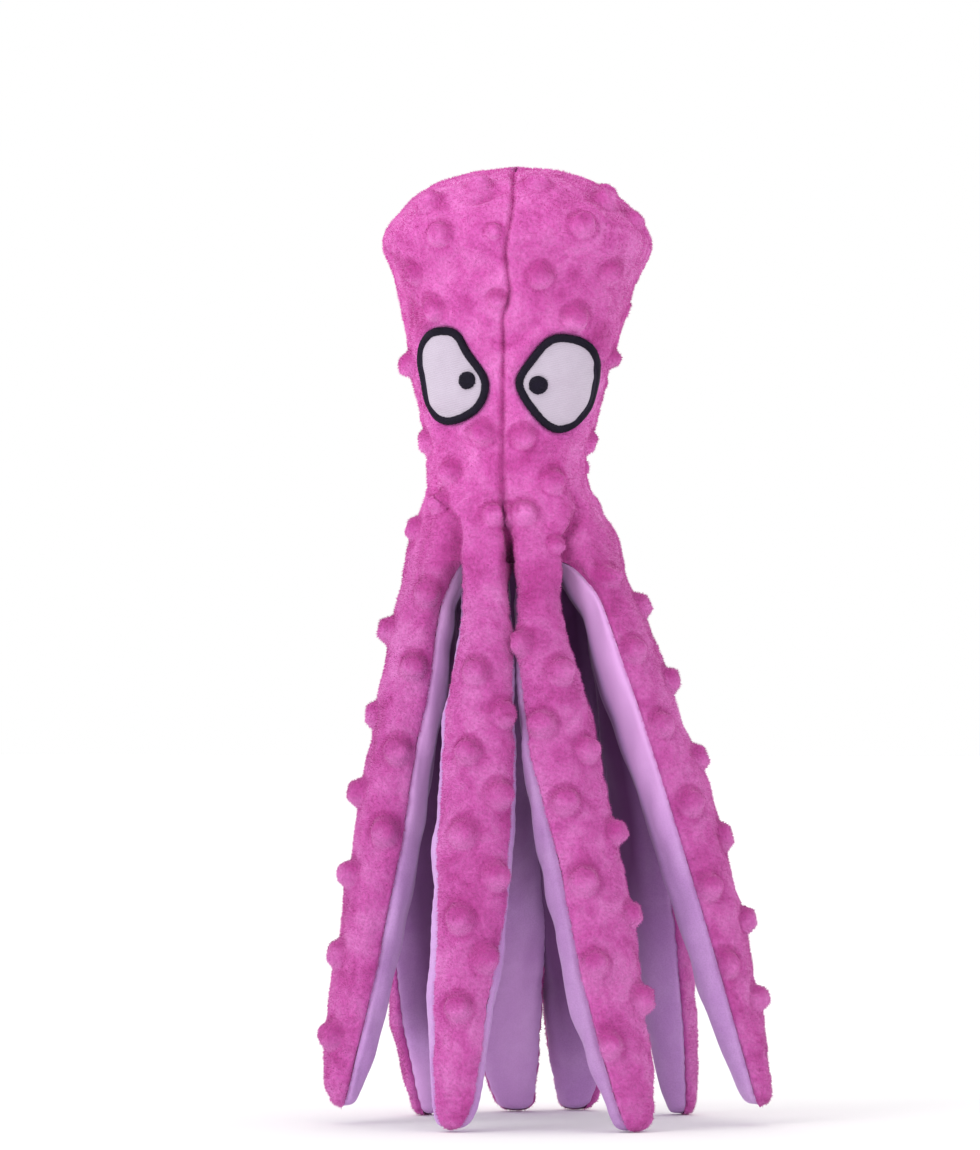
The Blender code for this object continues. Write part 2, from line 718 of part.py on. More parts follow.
def leg_shell(name, leg, side, wall, collection, material):
    """Half of a leg's skin on one side of its seams, with its wall."""
    work = bmesh.new()
    loops = []
    for rows in (leg_rows(leg, side, 0), leg_rows(leg, side, wall)):
        grid = [[work.verts.new(point) for point in row] for row in rows]
        for upper, lower in zip(grid, grid[1:]):
            for i in range(LEG_COLUMNS):
                if len(lower) == 1:
                    work.faces.new((upper[i], upper[i + 1], lower[0]))
                else:
                    work.faces.new((upper[i], upper[i + 1], lower[i + 1], lower[i]))
        loops.append(edge_loop(grid))
    outer, inner = loops
    for i in range(len(outer)):
        j = (i + 1) % len(outer)
        work.faces.new((outer[i], outer[j], inner[j], inner[i]))
    bmesh.ops.recalc_face_normals(work, faces=work.faces)
    mesh = bpy.data.meshes.new(name)
    work.to_mesh(mesh)
    work.free()
    shell = new_object(name, mesh, collection, material)
    smooth(shell)
    return shell


def leg_dots(leg):
    """The points and directions of a leg's dots, in two staggered columns."""
    places = []
    for angle, start in zip(leg.dot_angles, leg.dot_starts):
        distance = start * DOT_PITCH
        while distance < leg.length - LEG_DOTS_END:
            share = distance / leg.length
            turn = math.radians(angle)
            point = placed(leg.point(share, turn, SEAM_GAP / 2))
            places.append((point, leg.normal(share, turn)))
            distance += DOT_PITCH
    return places


def leg_film(name, leg, collection, material):
    """A pleated crinkle film between a leg's cover and lining, level with its seams."""
    rows = []
    seam = math.cos(COVER_HALF_ANGLE)
    for share in [s for s in leg_shares() if s <= FILM_END_SHARE]:
        centre, width, outward = leg.frame(share)
        size = smooth_value(LEG_PROFILE_SHARES, share)
        half = math.sin(COVER_HALF_ANGLE) * size * LEG_WIDTH / 2
        half -= COVER_WALL + SEAT_GAP + FILM_WALL
        depth = size * LEG_THICKNESS / 2
        row = []
        for i in range(FILM_FOLDS + 1):
            across = half * (2 * i / FILM_FOLDS - 1)
            inner = 0 < i < FILM_FOLDS
            fold = FILM_DEPTH_SHARE * (1 if i % 2 else -1) if inner else 0
            row.append(placed(centre + width * across + outward * depth * (seam + fold)))
        rows.append(row)
    film = new_object(name, loft(name, rows), collection, material)
    thicken(film, FILM_WALL, offset=0.0)
    return film


def make_leg(name, collection, cutters, cloth, floor):
    """A leg's cover, lining and film, on an empty at its hinge."""
    leg = Leg(name)
    title = f"leg_{name}"
    cover = leg_shell(title + "_cover", leg, 1, COVER_WALL, collection, cloth["plush"])
    dots = dots_mesh(title + "_dots", leg_dots(leg))
    group = hide_cutter(new_object(title + "_dots", dots, cutters))
    boolean(cover, group, "UNION", solver="MANIFOLD")
    lining = leg_shell(title + "_lining", leg, -1, LINING_WALL, collection, cloth["velour"])
    film = leg_film(title + "_film", leg, collection, cloth["film"])
    for shell in (cover, lining):
        boolean(shell, floor, "DIFFERENCE")
    hinge = bpy.data.objects.new(title + "_hinge", None)
    collection.objects.link(hinge)
    hinge.location = placed(leg.hinge)
    hinge.rotation_euler = (0, 0, leg.root_angle)
    hinge.empty_display_size = LEG_THICKNESS
    bpy.context.view_layer.update()
    for piece in (cover, lining, film):
        piece.parent = hinge
        piece.matrix_parent_inverse = hinge.matrix_world.inverted()


def main():
    """Model the whole octopus."""
    clear_scene()
    octopus = make_collection("plush_octopus")
    cutters = make_collection("plush_octopus_cutters")
    names = ("plush", "velour", "fibre", "felt", "satin", "film")
    cloth = {name: make_material(name) for name in names}
    reach = CROWN_HEIGHT
    hem = box_cutter(
        "hem_cutter", Vector((-reach, -reach, -reach)), Vector((reach, reach, HINGE_HEIGHT)),
        cutters,
    )
    floor = box_cutter(
        "floor_cutter", Vector((-reach, -reach, -reach)), Vector((reach, reach, 0)), cutters
    )
    for quarter, place in enumerate(("back_right", "back_left", "front_left", "front_right")):
        head_panel(
            f"head_panel_{place}", quarter, octopus, cutters, cloth["plush"], hem,
            head_dots(quarter),
        )
    _, _, pocket = squeaker(octopus, cutters)
    head_filling(octopus, pocket, cloth["fibre"])
    underside_lining(octopus, cloth["velour"])
    eye(
        "left", LEFT_EYE_SHARES, Vector((LEFT_EYE_X, LEFT_EYE_HEIGHT)), LEFT_EYE_HALF_WIDTH,
        LEFT_PUPIL_SHARE, LEFT_PUPIL_RADIUS, octopus, cloth,
    )
    eye(
        "right", RIGHT_EYE_SHARES, Vector((RIGHT_EYE_X, RIGHT_EYE_HEIGHT)),
        RIGHT_EYE_HALF_WIDTH, RIGHT_PUPIL_SHARE, RIGHT_PUPIL_RADIUS, octopus, cloth,
    )
    for name in LEG_SHARES:
        make_leg(name, octopus, cutters, cloth, floor)


main()
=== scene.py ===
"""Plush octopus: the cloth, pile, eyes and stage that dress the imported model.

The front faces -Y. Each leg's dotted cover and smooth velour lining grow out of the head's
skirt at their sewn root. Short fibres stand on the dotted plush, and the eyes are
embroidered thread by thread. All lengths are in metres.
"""

import json
import math

import bmesh
import bpy
import numpy as np
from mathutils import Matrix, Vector


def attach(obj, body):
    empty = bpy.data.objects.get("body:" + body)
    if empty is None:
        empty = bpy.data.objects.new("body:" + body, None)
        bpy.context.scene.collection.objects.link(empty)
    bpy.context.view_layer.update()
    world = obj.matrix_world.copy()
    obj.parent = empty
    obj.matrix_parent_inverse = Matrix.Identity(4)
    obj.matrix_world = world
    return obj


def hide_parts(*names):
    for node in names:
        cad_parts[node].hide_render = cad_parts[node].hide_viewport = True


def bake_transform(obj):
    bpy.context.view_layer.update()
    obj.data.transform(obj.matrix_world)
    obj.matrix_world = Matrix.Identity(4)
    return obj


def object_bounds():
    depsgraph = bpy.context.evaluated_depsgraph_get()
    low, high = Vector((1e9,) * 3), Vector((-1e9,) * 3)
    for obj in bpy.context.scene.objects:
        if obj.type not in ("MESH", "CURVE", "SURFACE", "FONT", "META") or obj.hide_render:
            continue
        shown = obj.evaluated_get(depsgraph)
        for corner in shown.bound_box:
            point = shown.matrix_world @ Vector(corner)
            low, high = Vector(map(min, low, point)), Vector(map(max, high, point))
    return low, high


bl_info = {
    "name": "Plush octopus",
    "version": (1, 0, 0),
    "blender": (4, 5, 0),
    "location": "View3D > Sidebar > Octopus",
    "description": "Builds the cloth, pile, eyes and stage of a plush octopus",
    "category": "Add Mesh",
}

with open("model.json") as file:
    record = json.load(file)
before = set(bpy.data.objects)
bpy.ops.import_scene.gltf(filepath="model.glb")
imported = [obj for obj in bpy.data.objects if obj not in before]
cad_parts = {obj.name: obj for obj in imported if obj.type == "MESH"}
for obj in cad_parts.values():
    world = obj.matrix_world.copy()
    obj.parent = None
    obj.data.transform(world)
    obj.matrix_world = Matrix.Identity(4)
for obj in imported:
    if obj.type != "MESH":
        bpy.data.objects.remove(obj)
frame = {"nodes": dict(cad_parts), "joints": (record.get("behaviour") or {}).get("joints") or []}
CAD_BOX = [[float(value) for value in corner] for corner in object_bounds()]

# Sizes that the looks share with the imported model.
HINGE_HEIGHT = float(frame["joints"][0]["pos_m"][2])
CROWN_HEIGHT = CAD_BOX[1][2]
HEAD_HEIGHT = CROWN_HEIGHT - HINGE_HEIGHT
HEAD_AXIS = np.array([-0.0125, 0.0, 0.0])
HEAD_HALF_WIDTH = 0.0448
HEAD_HALF_DEPTH = 0.0400
HEAD_ROUNDNESS = 2.25
LEG_SPREAD = 0.0825
LEG_HALF_WIDTH = 0.0140
LEG_HALF_THICKNESS = 0.0110
FLAT_DEPTH = 0.0005
HINGE_GAP = 0.0004
DOT_PITCH = 0.0272
FRONT = math.radians(-90)
LEG_COUNT = 8
SECTOR = math.tau / LEG_COUNT
# The skirt's lobes: share of the head's height where they end, and depth of their valleys.
LOBES_END = 0.26
VALLEY_DEPTH = 0.120
# Folds beside the two front lobes: angles from the front seam at the hem and above, and the
# shares of the height where they start and end their turn. Then where a fold fades: its
# start and its span.
FOLDS = {-1: (32, 65, 0.090, 0.205), 1: (34, 58, 0.030, 0.150)}
FOLD_FADE = (0.24, 0.30)

# The head's half width as a share, by share of the way from hem to crown.
HEAD_PROFILE = np.array([
    (0.000, 0.837), (0.061, 0.781), (0.123, 0.692), (0.176, 0.629), (0.238, 0.600),
    (0.322, 0.629), (0.421, 0.692), (0.521, 0.772), (0.628, 0.848), (0.736, 0.924),
    (0.812, 0.996), (0.855, 0.950), (0.893, 0.858), (0.931, 0.735), (0.966, 0.540),
    (0.990, 0.320), (1.000, 0.000),
])
# Sideways lean of the head's middle, in metres, by the same share.
HEAD_LEAN = np.array([
    (0.00, 0.0), (0.06, -0.0008), (0.12, -0.0022), (0.26, -0.0026), (0.48, -0.0020),
    (0.62, -0.0008), (0.82, -0.0002), (1.00, 0.0),
])
# Sideways sway of the front seam, in metres, by the same share.
SEAM_SWAY = np.array([
    (0.00, 0.0006), (0.05, 0.0006), (0.11, 0.0003), (0.19, -0.0005), (0.31, -0.0003),
    (0.50, -0.0003), (0.57, -0.0009), (0.615, -0.0012), (0.645, 0.0004), (0.68, 0.0012),
    (0.73, 0.0002), (0.78, -0.0003), (0.86, 0.0012), (0.94, 0.0016), (1.00, 0.0),
])
# Small creases in the face: ends from the head's axis and the floor, depth and width.
PLEATS = [
    ((-0.0020, 0.3122), (-0.0118, 0.3076), 0.0030, 0.0014),
    ((0.0040, 0.2128), (0.0230, 0.2122), 0.0008, 0.0022),
    ((-0.0060, 0.2100), (-0.0160, 0.2040), 0.0006, 0.0020),
]
# A leg's half width and half thickness as a share, by share of the way from root to tip.
LEG_PROFILE = np.array([
    (0.00, 0.735), (0.10, 0.800), (0.22, 0.900), (0.36, 0.975), (0.50, 1.000), (0.64, 0.960),
    (0.77, 0.865), (0.87, 0.745), (0.935, 0.610), (0.972, 0.500), (0.992, 0.325), (1.00, 0.000),
])
# Share of the way down over which the skirt's lobe flows into the leg's own section.
ROOT_FLOW = 0.075

# Legs: angle of the root, turn towards the tip, tip and belly as shares of the spread, lift,
# narrowing at the root, and the angles of the two seams at the root and at the tip.
LEGS = {
    "front_left": (
        -112.5, 4.0, (-0.205, -0.76), (0.036, -0.036), 0.00, 0.15, ((-58, 104), (-40, 76)),
    ),
    "front_right": (
        -67.5, 11.0, (0.535, -0.71), (-0.036, -0.030), 0.00, 0.27, ((-96, 82), (-57, 84)),
    ),
    "side_left": (
        -157.5, 20.0, (-0.692, -0.27), (0.006, -0.012), 0.055, -0.20, ((-72, 116), (-72, 60)),
    ),
    "side_right": (
        -22.5, 1.0, (1.00, -0.18), (0.033, -0.010), 0.07, -0.20, ((-76, 74), (-70, 74)),
    ),
    "hind_left": (
        157.5, 0.0, (-0.385, 0.36), (-0.092, -0.030), 0.00, 0.0, ((-72, 76), (-70, 86)),
    ),
    "back_left": (
        112.5, 0.0, (-0.054, 0.64), (-0.030, 0.020), 0.00, -0.30, ((-84, 72), (-116, 84)),
    ),
    "back_right": (
        67.5, 0.0, (0.172, 0.76), (0.042, 0.018), 0.00, -0.30, ((-72, 96), (-92, 118)),
    ),
    "hind_right": (
        22.5, 0.0, (0.640, 0.47), (0.030, -0.030), 0.00, 0.0, ((-80, 72), (-88, 70)),
    ),
}
# Sideways shift of a leg's top where the cloth is gathered under its lobe: metres, reach.
GATHERS = {
    "front_left": (0.0023, 0.52), "front_right": (-0.0028, 0.66),
    "side_left": (-0.0010, 0.60), "side_right": (0.0008, 0.60),
}
# Share of the way down over which a leg's narrowing fades, and a broadened leg's own.
NARROW_REACH = 0.34
BROAD_REACH = 0.90
# How much broader some legs are towards the tip.
BROADER = {"front_right": 0.10, "back_left": 0.10, "back_right": 0.10}
# How much deeper the lining of some legs is near the root.
DEEPER = {"side_left": 0.34, "side_right": 0.40}
# The rear linings' painted shade, painted light where it is below 0: at the tip, height and
# span of its change, above.
LINING_SHADE = {
    "hind_left": (-0.70, 0.012, 0.026, 0.66), "hind_right": (0.12, 0.032, 0.066, 0.82),
    "back_left": (-0.40, 0.045, 0.060, 0.74), "back_right": (0.0, -0.005, 0.055, 0.88),
}
# The same for the front and side legs.
FRONT_LINING_SHADE = (0.0, 0.032, 0.066, 0.78)
# Share of the way down where the seams of a leg have settled, if they turn early.
SEAM_REACH = {"front_right": 0.60}
# Dots of each leg: angle from its outer face and distance from the root in dot pitches.
LEG_DOTS = {
    "front_left": [
        (6, 1.39), (3, 2.39), (3, 3.41), (8, 4.44), (12, 5.51),
        (62, 1.88), (58, 2.88), (58, 3.90), (56, 4.90),
    ],
    "front_right": [
        (-66, 0.99), (-38, 2.04), (-24, 3.03), (-19, 4.03), (-28, 5.05), (-34, 6.02),
        (11, 1.40), (30, 2.39), (55, 3.39), (60, 4.43), (58, 5.46),
    ],
    "side_left": [
        (-22, 0.86), (-25, 1.92), (-18, 2.90), (-10, 3.90), (-18, 4.90), (-14, 5.90),
        (68, 0.34), (64, 1.28), (56, 2.33), (52, 3.34),
    ],
    "side_right": [
        (-42, 0.16), (-43, 1.12), (-38, 2.09), (-32, 3.11), (-44, 4.16), (-48, 5.13),
        (28, 0.55), (28, 1.55), (30, 2.54), (28, 3.54), (30, 4.60), (21, 5.58),
    ],
    "hind_left": [
        (-30, 0.60), (-28, 1.62), (-32, 2.60), (-29, 3.61), (-30, 4.60),
        (33, 2.12), (37, 3.10), (35, 4.11), (34, 5.10),
    ],
    "back_left": [
        (-34, 0.90), (-31, 1.91), (-35, 2.90), (-33, 3.92), (-34, 4.90),
        (30, 0.40), (32, 1.40), (29, 2.42), (31, 3.40), (30, 4.41), (24, 5.40),
    ],
    "back_right": [
        (-30, 0.50), (-33, 1.51), (-29, 2.50), (-31, 3.50), (-30, 4.51), (-22, 5.50),
        (34, 1.00), (31, 2.01), (35, 3.00), (33, 4.01), (34, 5.00),
    ],
    "hind_right": [
        (-33, 1.82), (-37, 2.80), (-35, 3.80), (-34, 4.81),
        (33, 1.31), (29, 2.30), (31, 3.31), (30, 4.30), (22, 5.30),
    ],
}
# Dots on the front of the head: angle from the front seam, share of the head's height.
FRONT_DOTS = [
    (-47, 0.902), (-33, 0.824), (-53, 0.724), (-42, 0.640), (-24, 0.955), (20, 0.952),
    (60, 0.912), (37, 0.848), (74, 0.862), (57, 0.727), (18, 0.714), (39, 0.613),
    (-77, 0.500), (78, 0.512), (-76, 0.306), (89, 0.300), (-17, 0.322), (15, 0.312),
    (39, 0.200), (-47, 0.226), (-52, 0.148), (-7, 0.118), (13, 0.122), (-74, 0.086),
    (-6, 0.828), (-5, 0.656), (29, 0.042),
]
# Which of those are small: two that the front seam cuts, and one at the right fold.
SMALL_DOTS = (24, 25, 26)
# Rows of dots on the back: share of the height, first angle from the back seam, step.
BACK_DOTS = [
    (0.935, 22, 40), (0.850, 36, 24), (0.750, 18, 40), (0.650, 36, 24), (0.550, 18, 38),
    (0.450, 36, 24), (0.345, 20, 40), (0.240, 36, 22), (0.140, 20, 40),
]
# Eyes: outline in shares of the half width and half height, middle, pupil.
EYES = {
    "left": {
        "outline": [
            (-0.20, 1.00), (0.10, 0.97), (0.29, 0.82), (0.41, 0.56), (0.69, 0.26),
            (0.94, 0.02), (1.02, -0.21), (0.93, -0.48), (0.69, -0.73), (0.28, -0.91),
            (-0.20, -1.00), (-0.57, -0.88), (-0.78, -0.50), (-0.89, -0.08), (-1.00, 0.29),
            (-0.97, 0.67), (-0.66, 0.94),
        ],
        "middle": (-0.0194, 0.2495), "half_width": 0.0123,
        "pupil": (0.42, -0.08), "pupil_radius": 0.0027,
    },
    "right": {
        "outline": [
            (0.13, 1.00), (0.55, 0.95), (0.86, 0.78), (1.00, 0.45), (1.00, 0.10),
            (0.90, -0.22), (0.74, -0.54), (0.48, -0.85), (0.22, -0.98), (-0.06, -1.01),
            (-0.34, -0.88), (-0.62, -0.61), (-0.86, -0.31), (-1.01, -0.04), (-0.95, 0.17),
            (-0.64, 0.50), (-0.37, 0.80), (-0.12, 0.96),
        ],
        "middle": (0.0155, 0.2471), "half_width": 0.0135,
        "pupil": (-0.46, -0.02), "pupil_radius": 0.0030,
    },
}
EYE_HALF_HEIGHT = 0.0163
# Points of an eye's smoothed outline.
OUTLINE_POINTS = 360

# Random waves, each a height, a wavelength and a seed: lumps of stuffing, clumps of pile.
STUFFING = ((0.00050, 0.034, 11), (0.00022, 0.015, 12))
CLUMPS = ((0.00011, 0.0062, 21), (0.00006, 0.0030, 22))
# Raised dots: range of their radii and heights, size of the small ones, size on the head
# against the legs', and depth of the hollows on a dot and round it.
DOT_RADII = (0.92, 1.08)
DOT_HEIGHTS = (0.85, 1.12)
SMALL_DOT = 0.72
HEAD_DOT_RADIUS, HEAD_DOT_HEIGHT = 0.88, 0.90
DOT_HOLLOW = 0.00030
# Sewn edges: depth and width of the roll.
SEAM_DEPTH, SEAM_WIDTH = 0.0022, 0.0009
# Puckers along the legs' seams: height, and wavelength and seed of their unevenness.
PUCKER_HEIGHT = 0.00020
PUCKER_WANDER, PUCKER_SEED = 0.020, 8
# Folds of the skirt: share of the height where they end, depth, width at the front, width
# elsewhere, how much wider they get, and height, place and width of the puff beside them.
SKIRT_TOP = 0.24
FOLD_DEPTH = 0.0026
FRONT_FOLD_WIDTH, FOLD_WIDTH, FOLD_WIDENING = 0.0012, 0.0016, 0.0008
PUFF_HEIGHT, PUFF_PLACE, PUFF_WIDTH = 0.0009, 0.0048, 0.0026
# The front slit above the hem: share of the height where it ends, its depth, and how far
# its painted shadow goes past the deep colour of the pile.
SLIT_TOP = 0.13
SLIT_DEPTH = 0.0008
SLIT_SHADE = 1.5
# How far the cloth lies under the tips of the pile, and how softly the tips meet the floor.
PILE_SINK = 0.0003
FLOOR_SOFTNESS = 0.0012
# The lining: how far it lies under the plush, the height of the dome between the legs, the
# radius at the dome's middle, the share of a row that goes round it, and how far the rim
# lies inside the skirt, at the front seam, at the other valleys and on the underside.
LINING_SINK = 0.0006
DOME_HEIGHT = 0.0085
DOME_CORE = 0.0075
CORE_SHARE = 0.16
FRONT_INSET, VALLEY_INSET, UNDERSIDE_INSET = 0.0074, 0.0050, 0.0076
# The filling: shares of the head's height where it starts and ends, and lumps of fibre.
FILLING_SHARES = (0.115, 0.975)
FIBRE_LUMPS = ((0.00045, 0.0070, 81), (0.00030, 0.0035, 82))
# Slant of the pupil's stitches and of those that fill the eye's cloth.
PUPIL_SLANT = math.radians(20)
CLOTH_SLANT = math.radians(14)
# The photograph's size in pixels, and the middle of its view: height, and shift to the left.
PHOTO_SIZE = (980, 1150)
VIEW_HEIGHT, VIEW_SHIFT = 0.1833, 0.0090
# Lights: name, direction that it comes from, spread in degrees, strength.
SUNS = (
    ("key", (-0.95, -1.0, 0.70), 40, 0.90),
    ("overhead", (0.0, 0.2, 1.0), 60, 0.35),
)
FLOOR_HALF_WIDTH = 6.0
WHITE = (1.0, 1.0, 1.0)
# Painted shade: heights between which the plush turns from darker below to its full colour
# above, and its tint below. Then painted shade on the head's right side: places across the
# head between which it turns darker, and that side's tint.
LOWER_SHADE_HEIGHTS, LOWER_SHADE_TINT = (0.155, 0.232), (0.83, 0.88, 0.85)
RIGHT_SHADE_PLACES, RIGHT_SHADE_TINT = (-0.012, 0.026), (0.92, 0.93, 0.92)
# Seeds of the random draws, each but the first with a panel's or a leg's number added.
HEAD_DOT_SEED = 5
LINING_SEED, HEAD_PILE_SEED, LEG_PILE_SEED, LEG_DOT_SEED = 30, 40, 50, 60
# Two points closer than this are welded into one.
WELD_DISTANCE = 2e-6


class PlushSettings(bpy.types.PropertyGroup):
    """Sizes and colours of the dotted plush."""

    colour: bpy.props.FloatVectorProperty(
        name="Pile colour", description="Colour of the pile where it lies smooth",
        subtype="COLOR", size=3, min=0, max=1, default=(0.700, 0.119, 0.485),
    )
    # Also the painted shade on the dots and in folds, and, darker, the painted shadow in the
    # slit.
    deep: bpy.props.FloatVectorProperty(
        name="Deep colour", description="Colour of the pile where it is brushed open",
        subtype="COLOR", size=3, min=0, max=1, default=(0.520, 0.050, 0.310),
    )
    # Also the painted highlight along the dots' lower rims.
    bright: bpy.props.FloatVectorProperty(
        name="Bright colour", description="Colour of the pile where it catches the light",
        subtype="COLOR", size=3, min=0, max=1, default=(0.840, 0.235, 0.650),
    )
    dot_radius: bpy.props.FloatProperty(
        name="Dot radius", description="Radius of a raised dot",
        unit="LENGTH", min=0, default=0.0054,
    )
    dot_height: bpy.props.FloatProperty(
        name="Dot height", description="Height of a raised dot above the cloth",
        unit="LENGTH", min=0, default=0.0038,
    )
    fibre_length: bpy.props.FloatProperty(
        name="Fibre length", description="Length of a fibre of the pile",
        unit="LENGTH", min=0, default=0.0008,
    )
    fibre_radius: bpy.props.FloatProperty(
        name="Fibre radius", description="Radius of a fibre at its root",
        unit="LENGTH", min=0, default=0.00010,
    )
    fibre_lean: bpy.props.FloatProperty(
        name="Fibre lean", description="How far the fibres lean with the nap",
        min=0, default=0.9,
    )
    fibre_density: bpy.props.FloatProperty(
        name="Fibres", description="Fibres per square metre of plush",
        min=0, default=2.8e6,
    )


class VelourSettings(bpy.types.PropertyGroup):
    """Colours of the smooth lining, its painted shade and its painted light."""

    colour: bpy.props.FloatVectorProperty(
        name="Velour colour", description="Colour of the lining",
        subtype="COLOR", size=3, min=0, max=1, default=(0.535, 0.282, 0.625),
    )
    bright: bpy.props.FloatVectorProperty(
        name="Nap colour", description="Colour of the lining where its nap turns",
        subtype="COLOR", size=3, min=0, max=1, default=(0.65, 0.390, 0.735),
    )
    # Painted light: the lining's colour where light is painted on it.
    lit: bpy.props.FloatVectorProperty(
        name="Lit colour", description="Colour of the lining where it turns to the light",
        subtype="COLOR", size=3, min=0, max=1, default=(0.820, 0.450, 0.860),
    )
    # Painted shade: the lining's colour high between the legs and on the underside.
    deep: bpy.props.FloatVectorProperty(
        name="Deep colour", description="Colour of the lining high between the legs",
        subtype="COLOR", size=3, min=0, max=1, default=(0.115, 0.034, 0.125),
    )


class EyeSettings(bpy.types.PropertyGroup):
    """Sizes and colours of the embroidered eyes."""

    white: bpy.props.FloatVectorProperty(
        name="Patch colour", description="Colour of the eye's cloth",
        subtype="COLOR", size=3, min=0, max=1, default=(0.58, 0.50, 0.61),
    )
    thread: bpy.props.FloatVectorProperty(
        name="Thread colour", description="Colour of the satin stitches",
        subtype="COLOR", size=3, min=0, max=1, default=(0.006, 0.004, 0.011),
    )
    border_width: bpy.props.FloatProperty(
        name="Border width", description="Width of the stitched border",
        unit="LENGTH", min=0, default=0.0025,
    )
    thread_radius: bpy.props.FloatProperty(
        name="Thread radius", description="Radius of a stitched thread",
        unit="LENGTH", min=0, default=0.00017,
    )


class StageSettings(bpy.types.PropertyGroup):
    """Camera, light and floor."""

    azimuth: bpy.props.FloatProperty(
        name="Azimuth", description="Camera's angle round the octopus, from its front",
        subtype="ANGLE", default=math.radians(5),
    )
    elevation: bpy.props.FloatProperty(
        name="Elevation", description="Camera's angle above the horizon",
        subtype="ANGLE", default=0.0,
    )
    distance: bpy.props.FloatProperty(
        name="Distance", description="Camera's distance from the octopus",
        unit="LENGTH", min=0.3, default=3.0,
    )
    view_width: bpy.props.FloatProperty(
        name="View width", description="Width of the view at the octopus",
        unit="LENGTH", min=0.1, default=0.3291,
    )
    floor: bpy.props.FloatVectorProperty(
        name="Floor colour", description="Colour of the floor",
        subtype="COLOR", size=3, min=0, max=1, default=(0.93, 0.93, 0.93),
    )


# Curves, fields and grids


def smooth_values(table, places):
    """The second column of a table at places along its first, on a smooth curve."""
    keys, values = table[:, 0], table[:, 1]
    places = np.asarray(places, float)
    last = len(keys) - 2
    i = np.clip(np.searchsorted(keys, places, side="right") - 1, 0, last)
    before, after = np.maximum(i - 1, 0), np.minimum(i + 2, last + 1)
    span = keys[i + 1] - keys[i]
    slope_here = (values[i + 1] - values[before]) / (keys[i + 1] - keys[before]) * span
    slope_there = (values[after] - values[i]) / (keys[after] - keys[i]) * span
    t = np.clip((places - keys[i]) / span, 0, 1)
    return (
        (2 * t**3 - 3 * t**2 + 1) * values[i]
        + (t**3 - 2 * t**2 + t) * slope_here
        + (3 * t**2 - 2 * t**3) * values[i + 1]
        + (t**3 - t**2) * slope_there
    )


def unit(vectors):
    """Vectors brought to length 1."""
    return vectors / np.maximum(np.linalg.norm(vectors, axis=-1, keepdims=True), 1e-12)


def ripple(points, wavelength, seed, waves=26):
    """A smooth random field of about unit strength: waves that cross in every direction."""
    rng = np.random.default_rng(seed)
    directions = unit(rng.normal(size=(waves, 3)))
    numbers = math.tau / wavelength * rng.uniform(0.7, 1.35, waves)
    phases = rng.uniform(0, math.tau, waves)
    total = np.zeros(points.shape[:-1])
    for direction, number, phase in zip(directions, numbers, phases):
        total += np.cos(points @ direction * number + phase)
    return total / math.sqrt(waves / 2)


def bell(distance, width, middle=0.0):
    """1 at the middle, falling to 0 over about a width on both sides."""
    return np.exp(-(((distance - middle) / width) ** 2))


def rise(value, start=0.0, span=1.0):
    """A smooth step from 0 at the start to 1 at the end of a span."""
    t = np.clip((value - start) / span, 0, 1)
    return t * t * (3 - 2 * t)


def fall(value, start=0.0, span=1.0):
    """A smooth step from 1 at the start to 0 at the end of a span."""
    return 1 - rise(value, start, span)


def crowded(count, crowding):
    """Places from -1 to 1 that crowd towards both ends."""
    t = np.linspace(-1, 1, count)
    return (1 - crowding) * t + crowding * np.sin(t * math.pi / 2)


def grid_normals(grid, middle):
    """Outward directions of a grid of points, away from the middle of each row."""
    across = np.gradient(grid, axis=1)
    down = np.gradient(grid, axis=0)
    normals = np.cross(across, down)
    flat = np.linalg.norm(normals, axis=-1, keepdims=True) < 1e-14
    normals = unit(normals)
    if np.sum(normals * (grid - middle)) < 0:
        normals = -normals
    for row in (0, -1):
        if flat[row].mean() > 0.5:
            normals[row] = unit(normals[1 if row == 0 else -2].mean(axis=0))
    return normals


def cloth(name, grid, normals, uv, marks=None):
    """An object from a grid of points, with a map and named values at its points."""
    rows, columns = grid.shape[:2]
    index = np.arange(rows * columns).reshape(rows, columns)
    quads = np.stack(
        [index[:-1, :-1], index[:-1, 1:], index[1:, 1:], index[1:, :-1]], -1
    ).reshape(-1, 4)
    a, b, c = (grid.reshape(-1, 3)[quads[:, k]] for k in (0, 1, 2))
    facing = np.cross(b - a, c - a) * normals.reshape(-1, 3)[quads[:, 0]]
    if facing.sum() < 0:
        quads = quads[:, ::-1]
    mesh = bpy.data.meshes.new(name)
    mesh.from_pydata(grid.reshape(-1, 3).tolist(), [], quads.tolist())
    layer = mesh.uv_layers.new(name="OFBake")
    layer.data.foreach_set("uv", uv.reshape(-1, 2)[quads.ravel()].astype(np.float32).ravel())
    for label, values in (marks or {}).items():
        mark = mesh.attributes.new(label, "FLOAT", "POINT")
        mark.data.foreach_set("value", values.astype(np.float32).ravel())
    work = bmesh.new()
    work.from_mesh(mesh)
    bmesh.ops.remove_doubles(work, verts=work.verts, dist=WELD_DISTANCE)
    work.to_mesh(mesh)
    work.free()
    mesh.shade_smooth()
    thing = bpy.data.objects.new(name, mesh)
    bpy.context.scene.collection.objects.link(thing)
    return thing


def even_map(grid):
    """A map for a grid that fills the square, by length along rows and columns."""
    down = np.linalg.norm(np.diff(grid, axis=0), axis=-1).mean(axis=1)
    across = np.linalg.norm(np.diff(grid, axis=1), axis=-1).mean(axis=0)
    v = np.concatenate([[0], np.cumsum(down)])
    u = np.concatenate([[0], np.cumsum(across)])
    margin = 0.01
    return margin + (1 - 2 * margin) * np.stack(np.meshgrid(u / u[-1], v / v[-1]), -1)


def edge_distance(grid):
    """Distance of each point from the nearer end of its row, measured along the row."""
    steps = np.linalg.norm(np.diff(grid, axis=1, prepend=grid[:, :1]), axis=-1)
    around = np.cumsum(steps, axis=1)
    return np.minimum(around, around[:, -1:] - around)


# The head's skin


